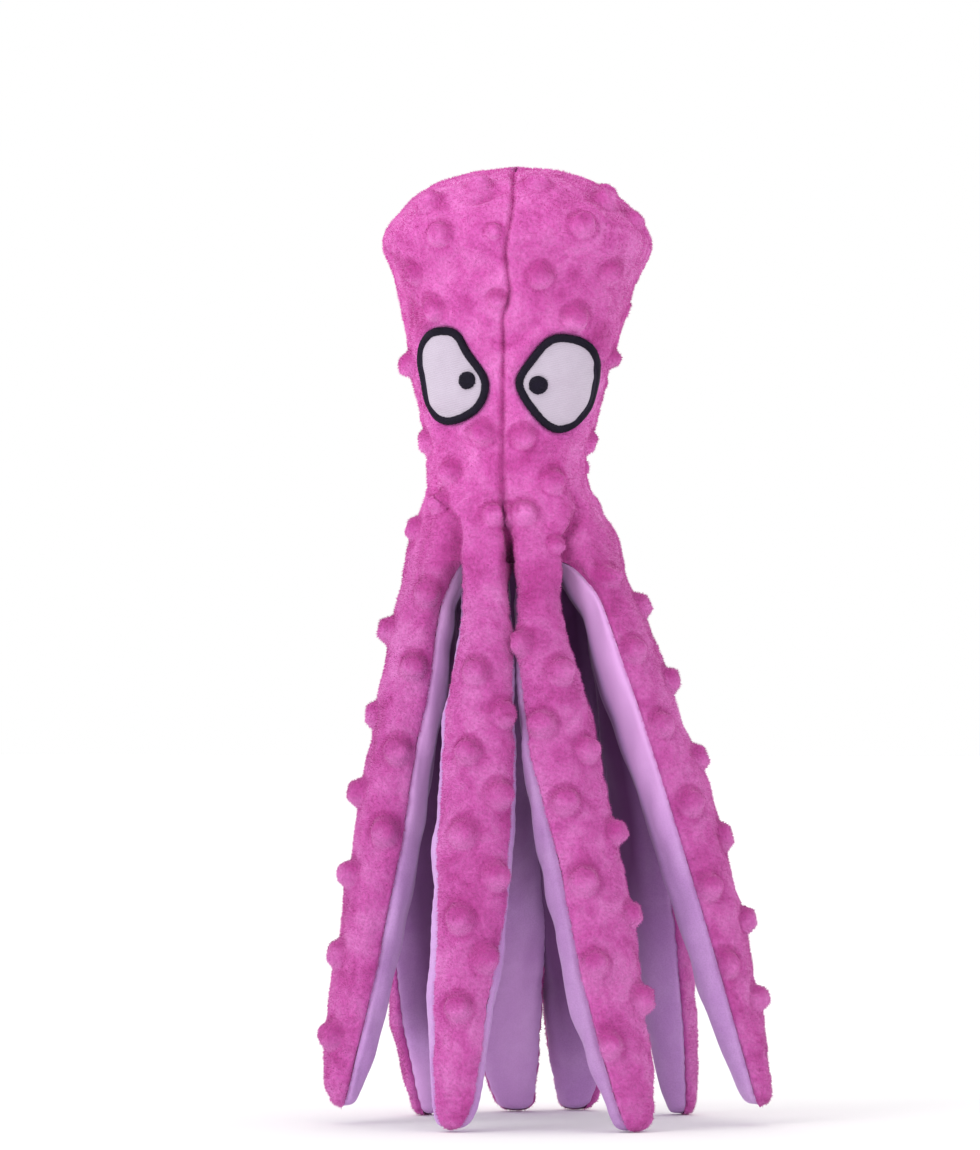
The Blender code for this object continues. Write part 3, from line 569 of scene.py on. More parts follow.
def fold_angle(share, side):
    """Angle, from the front seam, of the fold between a front leg's lobe and a side leg's."""
    hem, top, first, last = FOLDS[side]
    hem, top = math.radians(hem), math.radians(top)
    low = hem + (top - hem) * rise(share, first, last - first)
    return low + (SECTOR - low) * rise(share, *FOLD_FADE)


def draped(nominal, share):
    """Angles of the columns where the two front lobes narrow to an apron over the front."""
    from_front = (nominal - FRONT + math.pi) % math.tau - math.pi
    at_back = np.isclose(from_front, -math.pi, rtol=0, atol=1e-9)
    from_front = np.where(at_back, np.sign(nominal) * math.pi, from_front)
    away = np.abs(from_front)
    side = np.where(from_front < 0, -1.0, 1.0)
    fold = np.where(side < 0, fold_angle(share, -1), fold_angle(share, 1))
    inner = away / SECTOR * fold
    outer = fold + (away - SECTOR) / SECTOR * (2 * SECTOR - fold)
    moved = np.where(away < SECTOR, inner, np.where(away < 2 * SECTOR, outer, away))
    sway = smooth_values(SEAM_SWAY, share) / HEAD_HALF_DEPTH * rise(1 - away / SECTOR)
    return nominal + side * (moved - away) + sway


def head_radius(angle, share, nominal=None):
    """The head's radius: a squarish oval, with a lobe over each leg towards the hem."""
    nominal = angle if nominal is None else nominal
    breadth = smooth_values(HEAD_PROFILE, share)
    across = np.abs(np.cos(angle)) / HEAD_HALF_WIDTH
    along = np.abs(np.sin(angle)) / HEAD_HALF_DEPTH
    oval = (across**HEAD_ROUNDNESS + along**HEAD_ROUNDNESS) ** (-1 / HEAD_ROUNDNESS)
    flare = np.clip(1 - np.maximum(share, 0) / LOBES_END, 0, 1) ** 1.1
    valley = ((1 + np.cos(LEG_COUNT * nominal)) / 2) ** 2.6
    return breadth * oval * (1 - VALLEY_DEPTH * flare * valley)


def head_skin(angle, share, nominal=None):
    """Points of the head's skin at angles from +X and shares of the way up."""
    radius = head_radius(angle, share, nominal)
    lean = smooth_values(HEAD_LEAN, share)
    height = HINGE_HEIGHT + share * HEAD_HEIGHT + 0 * angle
    return np.stack(
        [radius * np.cos(angle) + lean + HEAD_AXIS[0], radius * np.sin(angle), height], -1
    )


def sewn_skin(nominal, share):
    """Points and outward directions of the skin, on columns that follow its folds."""
    def at(columns, level):
        return head_skin(draped(columns, level), level, columns)

    step = 0.003
    level = np.clip(share, step, 1 - step)
    round_it = at(nominal + step, level) - at(nominal - step, level)
    up_it = at(nominal, level + step) - at(nominal, level - step)
    normals = unit(np.cross(round_it, up_it))
    top = rise(share, start=0.97, span=0.028)[..., None]
    normals = unit(normals * (1 - top) + np.array([0, 0, 1.0]) * top)
    return at(nominal, share), normals


def head_out(angle, share):
    """Outward directions of the head's skin."""
    step = 0.002
    share = np.clip(share, step, 1 - step)
    round_it = head_skin(angle + step, share) - head_skin(angle - step, share)
    up_it = head_skin(angle, share + step) - head_skin(angle, share - step)
    return unit(np.cross(round_it, up_it))


def face_angle(x, height):
    """The angles, on the head's front, of the skin at distances x from the head's axis."""
    share = (height - HINGE_HEIGHT) / HEAD_HEIGHT
    low = np.full(np.shape(x), -math.pi)
    high = np.zeros(np.shape(x))
    for _ in range(30):
        middle = (low + high) / 2
        left = head_skin(middle, share)[..., 0] - HEAD_AXIS[0] < x
        low, high = np.where(left, middle, low), np.where(left, high, middle)
    return (low + high) / 2, share


def layered(points, layers):
    """The sum of random waves, each with a height, a wavelength and a seed."""
    return sum(height * ripple(points, wavelength, seed) for height, wavelength, seed in layers)


def stuffed(points, normals, strength=1.0):
    """Points moved by the broad unevenness of the stuffing."""
    return points + normals * (layered(points, STUFFING) * strength)[..., None]


def on_face(x, height, lift):
    """Points of the face at x from the head's axis and a height, lifted off the skin."""
    angle, share = face_angle(x, height)
    normals = head_out(angle, share)
    points = stuffed(head_skin(angle, share), normals)
    return points + normals * np.asarray(lift)[..., None], normals


# The dots


def raise_dots(points, places, radius, height, seed):
    """Height of the dots, and their painted shade: darker on each dot's upper side and in a
    ring round it, with a painted highlight, below 0, along its lower rim.
    """
    rng = np.random.default_rng(seed)
    flat = points.reshape(-1, 3)
    lift = np.zeros(points.shape[:-1])
    shade = np.zeros(points.shape[:-1])
    for number, place in enumerate(places):
        small = SMALL_DOT if number in SMALL_DOTS else 1.0
        r = radius * rng.uniform(*DOT_RADII) * small
        h = height * rng.uniform(*DOT_HEIGHTS) * small
        away = np.linalg.norm(flat - place, axis=-1)
        if away.min() > 1.7 * r:
            continue
        if away.min() < 0.8 * r:
            place = flat[away.argmin()]
        offset = points - place
        x = np.linalg.norm(offset, axis=-1) / r
        dome = fall(x, start=0.44, span=0.62) * (0.80 + 0.20 * np.clip(1 - x**2, 0, 1)) * h
        hollows = DOT_HOLLOW * (bell(x, 0.20, middle=1.20) + bell(x, 0.35))
        lift = np.maximum(lift, dome) - hollows
        up = (offset[..., 2] + 0.25 * np.abs(offset[..., 0])) / r
        # Painted shade on the dot's upper side, painted highlight on its lower side.
        shade += fall(x, start=0.85, span=0.30) * np.clip(up * 1.6 + 0.15, -1, 1)
        # Painted shade in a ring round the dot.
        shade += 0.50 * bell(x, 0.12, middle=1.14) * (1 + 0.6 * np.clip(up, -1, 1))
    return lift, shade


def face_pleats(points):
    """Depth of the small creases in the face."""
    flat = np.stack([points[..., 0] - HEAD_AXIS[0], points[..., 2]], -1)
    total = np.zeros(points.shape[:-1])
    for start, end, depth, width in PLEATS:
        start, span = np.array(start), np.array(end) - np.array(start)
        t = np.clip((flat - start) @ span / (span @ span), 0, 1)
        away = np.linalg.norm(flat - start - t[..., None] * span, axis=-1)
        total -= depth * bell(away, width) * np.sin(math.pi * (0.15 + 0.7 * t))
    return total * (points[..., 1] < 0)


def head_dot_places():
    """Points of the head's dots, with the front seam's own."""
    angles, shares = [], []
    for angle, share in FRONT_DOTS:
        angles.append(math.radians(angle - 90))
        shares.append(share)
    for share, first, step in BACK_DOTS:
        for side in (-1, 1):
            for i in range(2):
                angles.append(math.radians(90 + side * (first + i * step)))
                shares.append(share)
    return head_skin(np.array(angles), np.array(shares))


# The legs' skin


class LegShape:
    """The path, section and outer direction of one leg."""

    def __init__(self, name):
        root, turn, tip, belly, lift, self.narrowing, seams = LEGS[name]
        self.name = name
        self.root_angle = math.radians(root)
        self.turn = math.radians(turn)
        self.seams = np.radians(np.array(seams, float))
        self.out = np.array([math.cos(self.root_angle), math.sin(self.root_angle), 0])
        hinge = self.out * float(head_radius(self.root_angle, 0.0))
        hinge[2] = HINGE_HEIGHT
        half = LEG_HALF_THICKNESS * LEG_PROFILE[0, 1]
        self.root = hinge - self.out * half
        self.tip = np.array([tip[0], tip[1], lift]) * LEG_SPREAD
        if lift == 0:
            self.tip[2] -= FLAT_DEPTH
        swell = np.array([belly[0], belly[1], 0]) * LEG_SPREAD * 2
        self.belly = (self.root + self.tip) / 2 + swell
        width = np.array([-self.out[1], self.out[0], 0])
        outward = unit(np.cross(width, unit(self.belly - self.root)))
        if outward @ self.out < 0:
            outward = -outward
        self.root = hinge - np.array([0, 0, HINGE_GAP]) - outward * half
        bent = np.linalg.norm(self.belly - self.root) + np.linalg.norm(self.tip - self.belly)
        self.length = (bent + 2 * np.linalg.norm(self.tip - self.root)) / 3
        self.hinge = hinge + HEAD_AXIS

    def frames(self, share):
        """Centres, width directions and outer directions at shares of the way down."""
        s = np.asarray(share, float)[..., None]
        centre = self.root * (1 - s) ** 2 + self.belly * 2 * s * (1 - s) + self.tip * s**2
        shift, reach = GATHERS.get(self.name, (0.0, 1.0))
        centre = centre + np.array([shift, 0, 0]) * fall(s, span=reach)
        along = (self.belly - self.root) * (1 - s) + (self.tip - self.belly) * s
        angle = self.root_angle + self.turn * rise(s[..., 0])
        width = np.stack([-np.sin(angle), np.cos(angle), 0 * angle], -1)
        outward = unit(np.cross(unit(along), width))
        facing = np.stack([np.cos(angle), np.sin(angle), 0 * angle], -1)
        outward *= np.sign(np.sum(outward * facing, -1, keepdims=True))
        return centre + HEAD_AXIS, width, outward, unit(along)

    def skin(self, share, angle):
        """Points of the skin on a grid of shares and angles from the outer face."""
        centre, width, outward, _ = self.frames(share)
        size = smooth_values(LEG_PROFILE, share)[:, None]
        down = np.asarray(share)[:, None]
        angle = np.broadcast_to(angle, (len(share), np.shape(angle)[-1]))
        reach = NARROW_REACH if self.narrowing > -0.25 else BROAD_REACH
        breadth = 1 - self.narrowing * fall(down, span=reach)
        breadth = breadth * (1 + BROADER.get(self.name, 0) * rise(down, start=0.45, span=0.40))
        on_lining = np.cos(angle) < 0
        depth = 1 + DEEPER.get(self.name, 0) * fall(down, span=0.70) * on_lining
        across = np.sin(angle) * size * LEG_HALF_WIDTH * breadth
        through = np.cos(angle) * size * LEG_HALF_THICKNESS * depth
        sideways = width[:, None] * across[..., None]
        return centre[:, None] + sideways + outward[:, None] * through[..., None]

    def local(self, points):
        """Points written in the root's own directions."""
        centre, width, outward, along = self.frames(np.array([0.0]))
        axes = np.stack([width[0], outward[0], along[0]])
        return (points - centre[0]) @ np.linalg.inv(axes)

    def carried(self, share, local):
        """Points written in the root's directions, carried down the path."""
        centre, width, outward, along = self.frames(share)
        axes = np.stack([width, outward, along], -2)
        return centre[:, None] + np.einsum("mk,nkj->nmj", local, axes)

    def seam_angles(self, share):
        """Angles of the two seams at shares of the way down."""
        mix = np.asarray(share)[:, None]
        if self.name in SEAM_REACH:
            mix = rise(mix / SEAM_REACH[self.name])
        both = self.seams[0] * (1 - mix) + self.seams[1] * mix
        return both[:, :1], both[:, 1:]

    def dots(self):
        """Points of the leg's dots."""
        places = []
        for angle, distance in LEG_DOTS[self.name]:
            share = np.array([distance * DOT_PITCH / self.length])
            places.append(self.skin(share, np.array([math.radians(angle)]))[0, 0])
        return places


def leg_places(rows):
    """Shares of the way down a leg for its rows, close at the root and at the tip."""
    body_end = 0.90
    root = ROOT_FLOW * np.linspace(0, 1, 20) ** 2
    body = np.linspace(ROOT_FLOW, body_end, rows)[1:]
    quarter_turn = np.linspace(0, math.pi / 2, 34)[1:]
    return np.concatenate([root, body, body_end + (1 - body_end) * np.sin(quarter_turn)])


def root_blend(share):
    """How far a row has flowed from the skirt's lobe into the leg's own section."""
    t = np.clip(share / ROOT_FLOW, 0, 1)
    return np.sqrt(1 - (1 - t) ** 2)


# Places of a cover's columns, from seam to seam.
COLUMNS = crowded(60, crowding=0.45)


def sector_angles(root_angle):
    """Columns of the head over one leg, before the skirt's folds move them."""
    return root_angle + COLUMNS * SECTOR / 2


def seam_roll(edge):
    """How far plush rolls in at a distance from its sewn edge."""
    return -SEAM_DEPTH * bell(edge, SEAM_WIDTH)


def skirt_folds(nominal, shares, near):
    """Relief of the folds between the lobes, the painted shade in and below them, and the slit.
    """
    low = rise(1 - shares / SKIRT_TOP)
    at_front = np.abs(nominal - FRONT) < SECTOR / 2
    left_lobe = np.abs(nominal - FRONT + SECTOR / 2) < SECTOR / 2
    width = np.where(at_front, FRONT_FOLD_WIDTH, FOLD_WIDTH + FOLD_WIDENING * low)
    slit = rise(1 - shares / SLIT_TOP) * at_front * bell(near, FRONT_FOLD_WIDTH)
    crease = -FOLD_DEPTH * low * bell(near, width) - SLIT_DEPTH * slit
    puff = PUFF_HEIGHT * low * bell(near, PUFF_WIDTH, middle=PUFF_PLACE)
    # Painted shade in the folds, and on the lower skirt except the front left lobe.
    shade = 0.55 * low * bell(near, PUFF_PLACE)
    shade = shade + 0.30 * rise(1 - shares / 0.16) * ~left_lobe
    return crease + puff, shade, slit


def plush_skin(nominal, shares, dots, look, front):
    """The head's plush: stuffed, sewn, dotted, brushed, and pressed where the eyes are, with
    painted shade on its dots and skirt and a painted shadow in the front slit.
    """
    base, normals = sewn_skin(nominal, shares)
    grid = stuffed(base, normals)
    radius, height = look.dot_radius * HEAD_DOT_RADIUS, look.dot_height * HEAD_DOT_HEIGHT
    lift, shade = raise_dots(grid, dots, radius, height, HEAD_DOT_SEED)
    pressed, pile, clear = press_eyes(grid, front)
    if front:
        pressed = pressed + face_pleats(grid)
    width = np.linalg.norm(base[..., :2] - HEAD_AXIS[:2], axis=-1)
    line = np.round(nominal / SECTOR)
    near = np.abs(nominal / SECTOR - line) * SECTOR * width
    seam = np.where(line % 2 == 0, seam_roll(near), 0)
    folds, deeper, slit = skirt_folds(nominal, shares, near)
    # Painted shade of the dots and the skirt, and painted shadow in the front slit.
    shade = np.minimum(shade * clear + deeper, 1.0) + SLIT_SHADE * slit
    total = lift * clear + pressed + seam + folds + layered(grid, CLUMPS) * pile - PILE_SINK
    return grid + normals * total[..., None], normals, shade, pile


def leg_surface(shape, share, hem, angle):
    """A grid that starts on the hem's points and becomes the leg's section."""
    across = np.linspace(-1, 1, hem.shape[0])
    edge = rise((np.abs(across) - 0.45) / 0.45)[None, :, None]
    t = np.clip(share / ROOT_FLOW, 0, 1)[:, None, None]
    flow = root_blend(share)[:, None, None] * edge + rise(t) * (1 - edge)
    start = shape.carried(share, shape.local(hem))
    return start * (1 - flow) + shape.skin(share, angle) * flow


def settle(points):
    """Points kept off the floor that the tips press on."""
    low = points[..., 2]
    soft = FLOOR_SOFTNESS
    points[..., 2] = np.where(low < soft, soft * np.exp(np.minimum(low / soft - 1, 0)), low)
    return points


def puckers(middle, length, near, pitch, reach):
    """Height of the puckers that the stitches leave along a leg's seams."""
    wander = 2 * ripple(middle, PUCKER_WANDER, PUCKER_SEED)[:, 0]
    wave = np.cos(length / pitch * math.tau + wander)[:, None]
    return PUCKER_HEIGHT * wave * np.exp(-near / reach)


def to_the_tip(shape, grid, normals, relief, length, sink):
    """A leg's points moved by their relief, which gives way to a sink round the tip."""
    end = rise(shape.length - length, span=0.004)[:, None]
    return settle(grid + normals * (relief * end - sink * (1 - end))[..., None])


def cover_shade(shape, shade, near, length):
    """The cover's painted shade: the dots', more near the root and most at its edges there,
    and a painted shadow beside the front slit.
    """
    shade = shade * rise(near, span=0.0030)
    # Painted shade near the root, strongest at the cover's edges.
    shade = shade + 0.50 * fall(length, span=0.030)[:, None] * COLUMNS**2
    # Painted shade near the root of every leg except the front left one.
    if shape.name != "front_left":
        shade = shade + 0.30 * fall(length, span=0.045)[:, None]
    slit_side = {"front_left": 1, "front_right": -1}.get(shape.name, 0)
    slit = fall(length, span=0.012)[:, None] * bell(near, 0.0016)
    return np.minimum(shade, 1.0) + SLIT_SHADE * slit * (COLUMNS * slit_side > 0)


def lining_hem(shape, across):
    """Points where a leg's lining starts: along two valleys and round the dome's middle."""
    hem = np.zeros(1)
    ends = []
    for side in (1, -1):
        edge = np.array([shape.root_angle + side * SECTOR / 2])
        turned = draped(edge, hem)
        at_front = np.isclose(edge[0], FRONT, rtol=0, atol=0.01)
        inset = FRONT_INSET if at_front else VALLEY_INSET
        ends.append((turned[0], head_radius(turned, hem, edge)[0] - inset))
    (left, left_rim), (right, right_rim) = ends
    turn = np.clip((across - 0.5 + CORE_SHARE / 2) / CORE_SHARE, 0, 1)
    way = left + (right - left) * turn
    rim = np.where(across < 0.5, left_rim, right_rim)
    out = np.clip(np.abs(across - 0.5) * 2, CORE_SHARE, 1)
    radius = DOME_CORE + (rim - DOME_CORE) * (out - CORE_SHARE) / (1 - CORE_SHARE)
    height = HINGE_HEIGHT - 0.0010 + DOME_HEIGHT * (1 - (radius / rim) ** 2)
    return np.stack([radius * np.cos(way), radius * np.sin(way), height], -1) + HEAD_AXIS


def lining_shade(shape, points, middle, near, length):
    """The lining's painted shade: high between the legs, near the front legs' roots and on the
    hind legs' inner sides. Below 0 it is painted light, by the side legs' seams and low down
    on two rear legs.
    """
    low, start, span, top = LINING_SHADE.get(shape.name, FRONT_LINING_SHADE)
    height = points[..., 2]
    high = low + (top - low) * rise(height, start, span)
    high = high + 0.22 * rise(height, start=0.125, span=0.050)
    band = 0.0095 if shape.name == "side_right" else 0.0072
    inner = rise(near, start=band, span=0.0060)
    place = shape.name.split("_")[0]
    # Painted shade across the rear legs; the others keep a band by the seam unshaded.
    shade = high * (0.75 + 0.25 * inner if place in ("hind", "back") else inner)
    if place == "front":
        # Painted shade near the front legs' roots.
        shade = np.maximum(shade, fall(length, start=0.006, span=0.030)[:, None])
    if shape.name == "front_right":
        # A floor of painted shade over the whole front right lining.
        shade = np.maximum(shade, 0.26)
    if place == "side":
        # Painted light in the side legs' band by the seam, higher up.
        shade = shade - 0.90 * (1 - inner) * rise(height, start=0.075, span=0.060)
    if place == "hind":
        # Painted shade on the hind legs' inner side, painted light on their outer side.
        outer = (points - middle)[..., 0] / LEG_HALF_WIDTH * np.sign(middle[..., 0])
        shade = shade + 0.42 * np.clip(0.15 - outer, -0.6, 1)
    return shade


# Materials


def feed(tree, socket, value):
    """Link a socket to another one, or give it a value."""
    if isinstance(value, bpy.types.NodeSocket):
        tree.links.new(value, socket)
    else:
        socket.default_value = value


def give(tree, node, values):
    """Give a node's sockets their values or links, by name."""
    for name, value in values.items():
        feed(tree, node.inputs[name], value)


def add_node(tree, kind, **settings):
    """A node with its settings, and its sockets' values or links."""
    node = tree.nodes.new(kind)
    for key, value in settings.items():
        if hasattr(node, key):
            setattr(node, key, value)
        else:
            feed(tree, node.inputs[key.replace("_", " ")], value)
    return node


def mottle_group():
    """Node group: patches, flecks and clumps of brushed pile."""
    name = "Brushed pile"
    if name in bpy.data.node_groups:
        return bpy.data.node_groups[name]
    group = bpy.data.node_groups.new(name, "ShaderNodeTree")
    face = group.interface
    for label, value in (("Patch scale", 60.0), ("Fleck scale", 900.0)):
        socket = face.new_socket(label, in_out="INPUT", socket_type="NodeSocketFloat")
        socket.default_value = value
    for label in ("Patches", "Flecks", "Height"):
        face.new_socket(label, in_out="OUTPUT", socket_type="NodeSocketFloat")
    put = group.nodes.new("NodeGroupInput")
    out = group.nodes.new("NodeGroupOutput")
    place = group.nodes.new("ShaderNodeTexCoord")
    patches = add_node(group, "ShaderNodeTexNoise", Detail=5.0, Roughness=0.66, Distortion=0.35)
    flecks = add_node(group, "ShaderNodeTexNoise", Detail=2.0, Roughness=0.6)
    join = group.links.new
    for texture, socket in ((patches, "Patch scale"), (flecks, "Fleck scale")):
        join(place.outputs["Object"], texture.inputs["Vector"])
        join(put.outputs[socket], texture.inputs["Scale"])
    both = add_node(group, "ShaderNodeMath", operation="MULTIPLY_ADD")
    both.inputs[1].default_value = 0.5
    join(patches.outputs["Fac"], both.inputs[0])
    join(flecks.outputs["Fac"], both.inputs[2])
    join(patches.outputs["Fac"], out.inputs["Patches"])
    join(flecks.outputs["Fac"], out.inputs["Flecks"])
    join(both.outputs[0], out.inputs["Height"])
    return group


def new_material(name):
    """A material, its Principled shader and its node tree."""
    material = bpy.data.materials.new(name)
    material.use_nodes = True
    tree = material.node_tree
    return material, tree, tree.nodes["Principled BSDF"]


def ramp(tree, source, stops):
    """A colour ramp read from a source."""
    node = tree.nodes.new("ShaderNodeValToRGB")
    while len(node.color_ramp.elements) < len(stops):
        node.color_ramp.elements.new(0.5)
    for element, (place, colour) in zip(node.color_ramp.elements, stops):
        element.position = place
        element.color = (*colour[:3], 1.0)
    tree.links.new(source, node.inputs["Fac"])
    return node.outputs["Color"]


def mix_colour(tree, factor, first, second, blend="MIX"):
    """Two colours mixed by a factor; each may be a socket or a value."""
    node = add_node(tree, "ShaderNodeMix", data_type="RGBA", blend_type=blend)
    feed(tree, node.inputs[0], factor)
    for socket, value in ((node.inputs[6], first), (node.inputs[7], second)):
        linked = isinstance(value, bpy.types.NodeSocket)
        feed(tree, socket, value if linked else (*value[:3], 1.0))
    return node.outputs[2]


def multiplied(tree, first, second):
    """Two colours multiplied."""
    return mix_colour(tree, 1.0, first, second, "MULTIPLY")


def arithmetic(tree, operation, first, second=0.0, third=0.0, clamp=False):
    """A sum of sockets or values."""
    node = add_node(tree, "ShaderNodeMath", operation=operation, use_clamp=clamp)
    for socket, value in zip(node.inputs, (first, second, third)):
        feed(tree, socket, value)
    return node.outputs[0]


def attribute(tree, name):
    """A named value of the mesh."""
    return add_node(tree, "ShaderNodeAttribute", attribute_name=name).outputs["Fac"]


def own_place(tree):
    """Places on a piece, in its own coordinates."""
    return tree.nodes.new("ShaderNodeTexCoord").outputs["Object"]


def piece_noise(tree, **settings):
    """Noise over a piece."""
    noise = add_node(tree, "ShaderNodeTexNoise", Vector=own_place(tree), **settings)
    return noise.outputs["Fac"]


def smooth_share(tree, value, limits):
    """How far a value has come from the lower limit to the upper one, on a smooth step."""
    node = add_node(
        tree, "ShaderNodeMapRange", interpolation_type="SMOOTHSTEP",
        Value=value, From_Min=limits[0], From_Max=limits[1],
    )
    return node.outputs["Result"]


def uneven(tree, noise, low, high):
    """A value that wanders between two others with the noise."""
    node = add_node(tree, "ShaderNodeMapRange", Value=noise, To_Min=low, To_Max=high)
    return node.outputs["Result"]


def relief(tree, height, strength, distance):
    """Directions of a surface with a fine relief."""
    bump = add_node(tree, "ShaderNodeBump", Height=height, Strength=strength, Distance=distance)
    return bump.outputs["Normal"]


def brushed_pile(tree, patch_scale, fleck_scale):
    """The shared pattern of brushed pile, at a material's own scales."""
    return add_node(
        tree, "ShaderNodeGroup", node_tree=mottle_group(),
        Patch_scale=patch_scale, Fleck_scale=fleck_scale,
    )


def flecked(tree, colour, mottle, dark):
    """A colour with the pattern's dark flecks."""
    flecks = ramp(tree, mottle.outputs["Flecks"], [(0.30, (dark,) * 3), (0.62, WHITE)])
    return multiplied(tree, colour, flecks)


def toned(colour, factor):
    """A colour made darker or brighter by a factor."""
    return [min(factor * part, 1) for part in colour]


def plush_colour(tree, look, mottle):
    """The pile's colour: brushed in patches, with painted shade on the dots' upper sides, round
    the dots, in folds, towards the bottom and on the head's right side; a painted highlight
    along the dots' lower rims; and a painted shadow in the front slit.
    """
    colour = ramp(tree, mottle.outputs["Patches"], [
        (0.27, look.deep), (0.46, look.colour), (0.70, look.bright),
    ])
    dots = attribute(tree, "dot")
    # Painted shade from dot values above 0, painted highlight from those below 0.
    upper = arithmetic(tree, "MULTIPLY", dots, 0.80, clamp=True)
    lower = arithmetic(tree, "MULTIPLY", dots, -0.80, clamp=True)
    # Painted shadow in the front slit, from dot values above 1.
    slit_shadow = arithmetic(tree, "SUBTRACT", dots, 1.0, clamp=True)
    colour = mix_colour(tree, upper, colour, look.deep)
    colour = mix_colour(tree, lower, colour, look.bright)
    colour = mix_colour(tree, slit_shadow, colour, toned(look.deep, 0.22))
    place = add_node(tree, "ShaderNodeSeparateXYZ", Vector=own_place(tree))
    # Painted shade: the plush grows darker towards the bottom.
    height = smooth_share(tree, place.outputs["Z"], LOWER_SHADE_HEIGHTS)
    colour = multiplied(tree, colour, mix_colour(tree, height, LOWER_SHADE_TINT, WHITE))
    # Painted shade: the upper plush turns darker towards the head's right side.
    side = smooth_share(tree, place.outputs["X"], RIGHT_SHADE_PLACES)
    side = arithmetic(tree, "MULTIPLY", side, height)
    return multiplied(tree, colour, mix_colour(tree, side, WHITE, RIGHT_SHADE_TINT))


def plush_material(look):
    """The cloth under the pile."""
    material, tree, shader = new_material("dotted_plush")
    mottle = brushed_pile(tree, patch_scale=75.0, fleck_scale=1100.0)
    give(tree, shader, {
        "Base Color": flecked(tree, plush_colour(tree, look, mottle), mottle, dark=0.80),
        "Normal": relief(tree, mottle.outputs["Height"], strength=0.55, distance=0.0006),
        "Roughness": 0.95, "Specular IOR Level": 0.15,
        "Sheen Weight": 0.45, "Sheen Roughness": 0.45, "Sheen Tint": (1.0, 0.62, 0.90, 1.0),
    })
    return material


def pile_material(look):
    """The fibres of the pile, paler at their tips and each a little different, with the plush's
    painted shade.
    """
    material, tree, shader = new_material("pile_fibre")
    mottle = brushed_pile(tree, patch_scale=75.0, fleck_scale=500.0)
    colour = plush_colour(tree, look, mottle)
    shade = arithmetic(tree, "MULTIPLY_ADD", attribute(tree, "tuft"), 0.16, 0.85)
    shade = arithmetic(tree, "MULTIPLY_ADD", attribute(tree, "along"), 0.14, shade)
    grey = add_node(tree, "ShaderNodeCombineColor", Red=shade, Green=shade, Blue=shade)
    give(tree, shader, {
        "Base Color": multiplied(tree, colour, grey.outputs[0]),
        "Roughness": 0.70, "Specular IOR Level": 0.25,
        "Sheen Weight": 0.30, "Sheen Roughness": 0.50, "Sheen Tint": (1.0, 0.70, 0.93, 1.0),
    })
    return material


def velour_material(look):
    """The lining's short smooth nap, with painted shade and painted light from its shade
    values.
    """
    material, tree, shader = new_material("lining_velour")
    mottle = brushed_pile(tree, patch_scale=38.0, fleck_scale=2200.0)
    colour = ramp(tree, mottle.outputs["Patches"], [(0.38, look.colour), (0.70, look.bright)])
    colour = flecked(tree, colour, mottle, dark=0.86)
    shade = attribute(tree, "shade")
    # Painted shade from shade values above 0, painted light from those below 0.
    deep = arithmetic(tree, "MULTIPLY", shade, 1.0, clamp=True)
    lit = arithmetic(tree, "MULTIPLY", shade, -1.0, clamp=True)
    colour = mix_colour(tree, deep, colour, look.deep)
    give(tree, shader, {
        "Base Color": mix_colour(tree, lit, colour, look.lit),
        "Normal": relief(tree, mottle.outputs["Flecks"], strength=0.30, distance=0.0002),
        "Roughness": 0.90, "Specular IOR Level": 0.15,
        "Sheen Weight": 0.25, "Sheen Roughness": 0.45, "Sheen Tint": (0.93, 0.80, 1.0, 1.0),
    })
    return material


def felt_material(look):
    """The eye's pale cloth, filled with fine slanting stitches."""
    material, tree, shader = new_material("eye_cloth")
    turn = add_node(
        tree, "ShaderNodeMapping", Vector=own_place(tree), Rotation=(0, CLOTH_SLANT, 0)
    )
    wave = add_node(
        tree, "ShaderNodeTexWave", bands_direction="Z", Vector=turn.outputs["Vector"],
        Scale=430.0, Distortion=1.2, Detail=2.0,
    )
    noise = piece_noise(tree, Scale=300.0, Detail=3.0)
    colour = mix_colour(tree, noise, toned(look.white, 0.95), toned(look.white, 1.04))
    lines = ramp(tree, wave.outputs["Color"], [(0.0, toned(WHITE, 0.93)), (0.6, WHITE)])
    give(tree, shader, {
        "Base Color": multiplied(tree, colour, lines),
        "Normal": relief(tree, wave.outputs["Fac"], strength=0.5, distance=0.0001),
        "Roughness": 0.75, "Specular IOR Level": 0.25, "Sheen Weight": 0.25,
    })
    return material


def satin_material(look):
    """The dark embroidery thread."""
    material, tree, shader = new_material("satin_thread")
    noise = piece_noise(tree, Scale=700.0, Detail=2.0)
    give(tree, shader, {
        "Base Color": mix_colour(tree, noise, look.thread, toned(look.thread, 3.0)),
        "Roughness": uneven(tree, noise, low=0.52, high=0.72),
        "Specular IOR Level": 0.22,
    })
    return material


def moulded_material(name, colour, roughness, scale):
    """A moulded or blown plastic, with faint flow marks."""
    material, tree, shader = new_material(name)
    noise = piece_noise(tree, Scale=scale, Detail=3.0)
    give(tree, shader, {
        "Base Color": mix_colour(tree, noise, toned(colour, 0.88), colour),
        "Roughness": uneven(tree, noise, roughness, roughness + 0.15),
    })
    return material


def fibre_material():
    """The loose white filling."""
    material, tree, shader = new_material("filling_fibre")
    noise = piece_noise(tree, Scale=260.0, Detail=6.0, Distortion=2.5)
    give(tree, shader, {
        "Base Color": mix_colour(tree, noise, (0.70, 0.70, 0.68), (0.92, 0.92, 0.90)),
        "Normal": relief(tree, noise, strength=0.8, distance=0.0010),
        "Roughness": 0.95,
    })
    return material


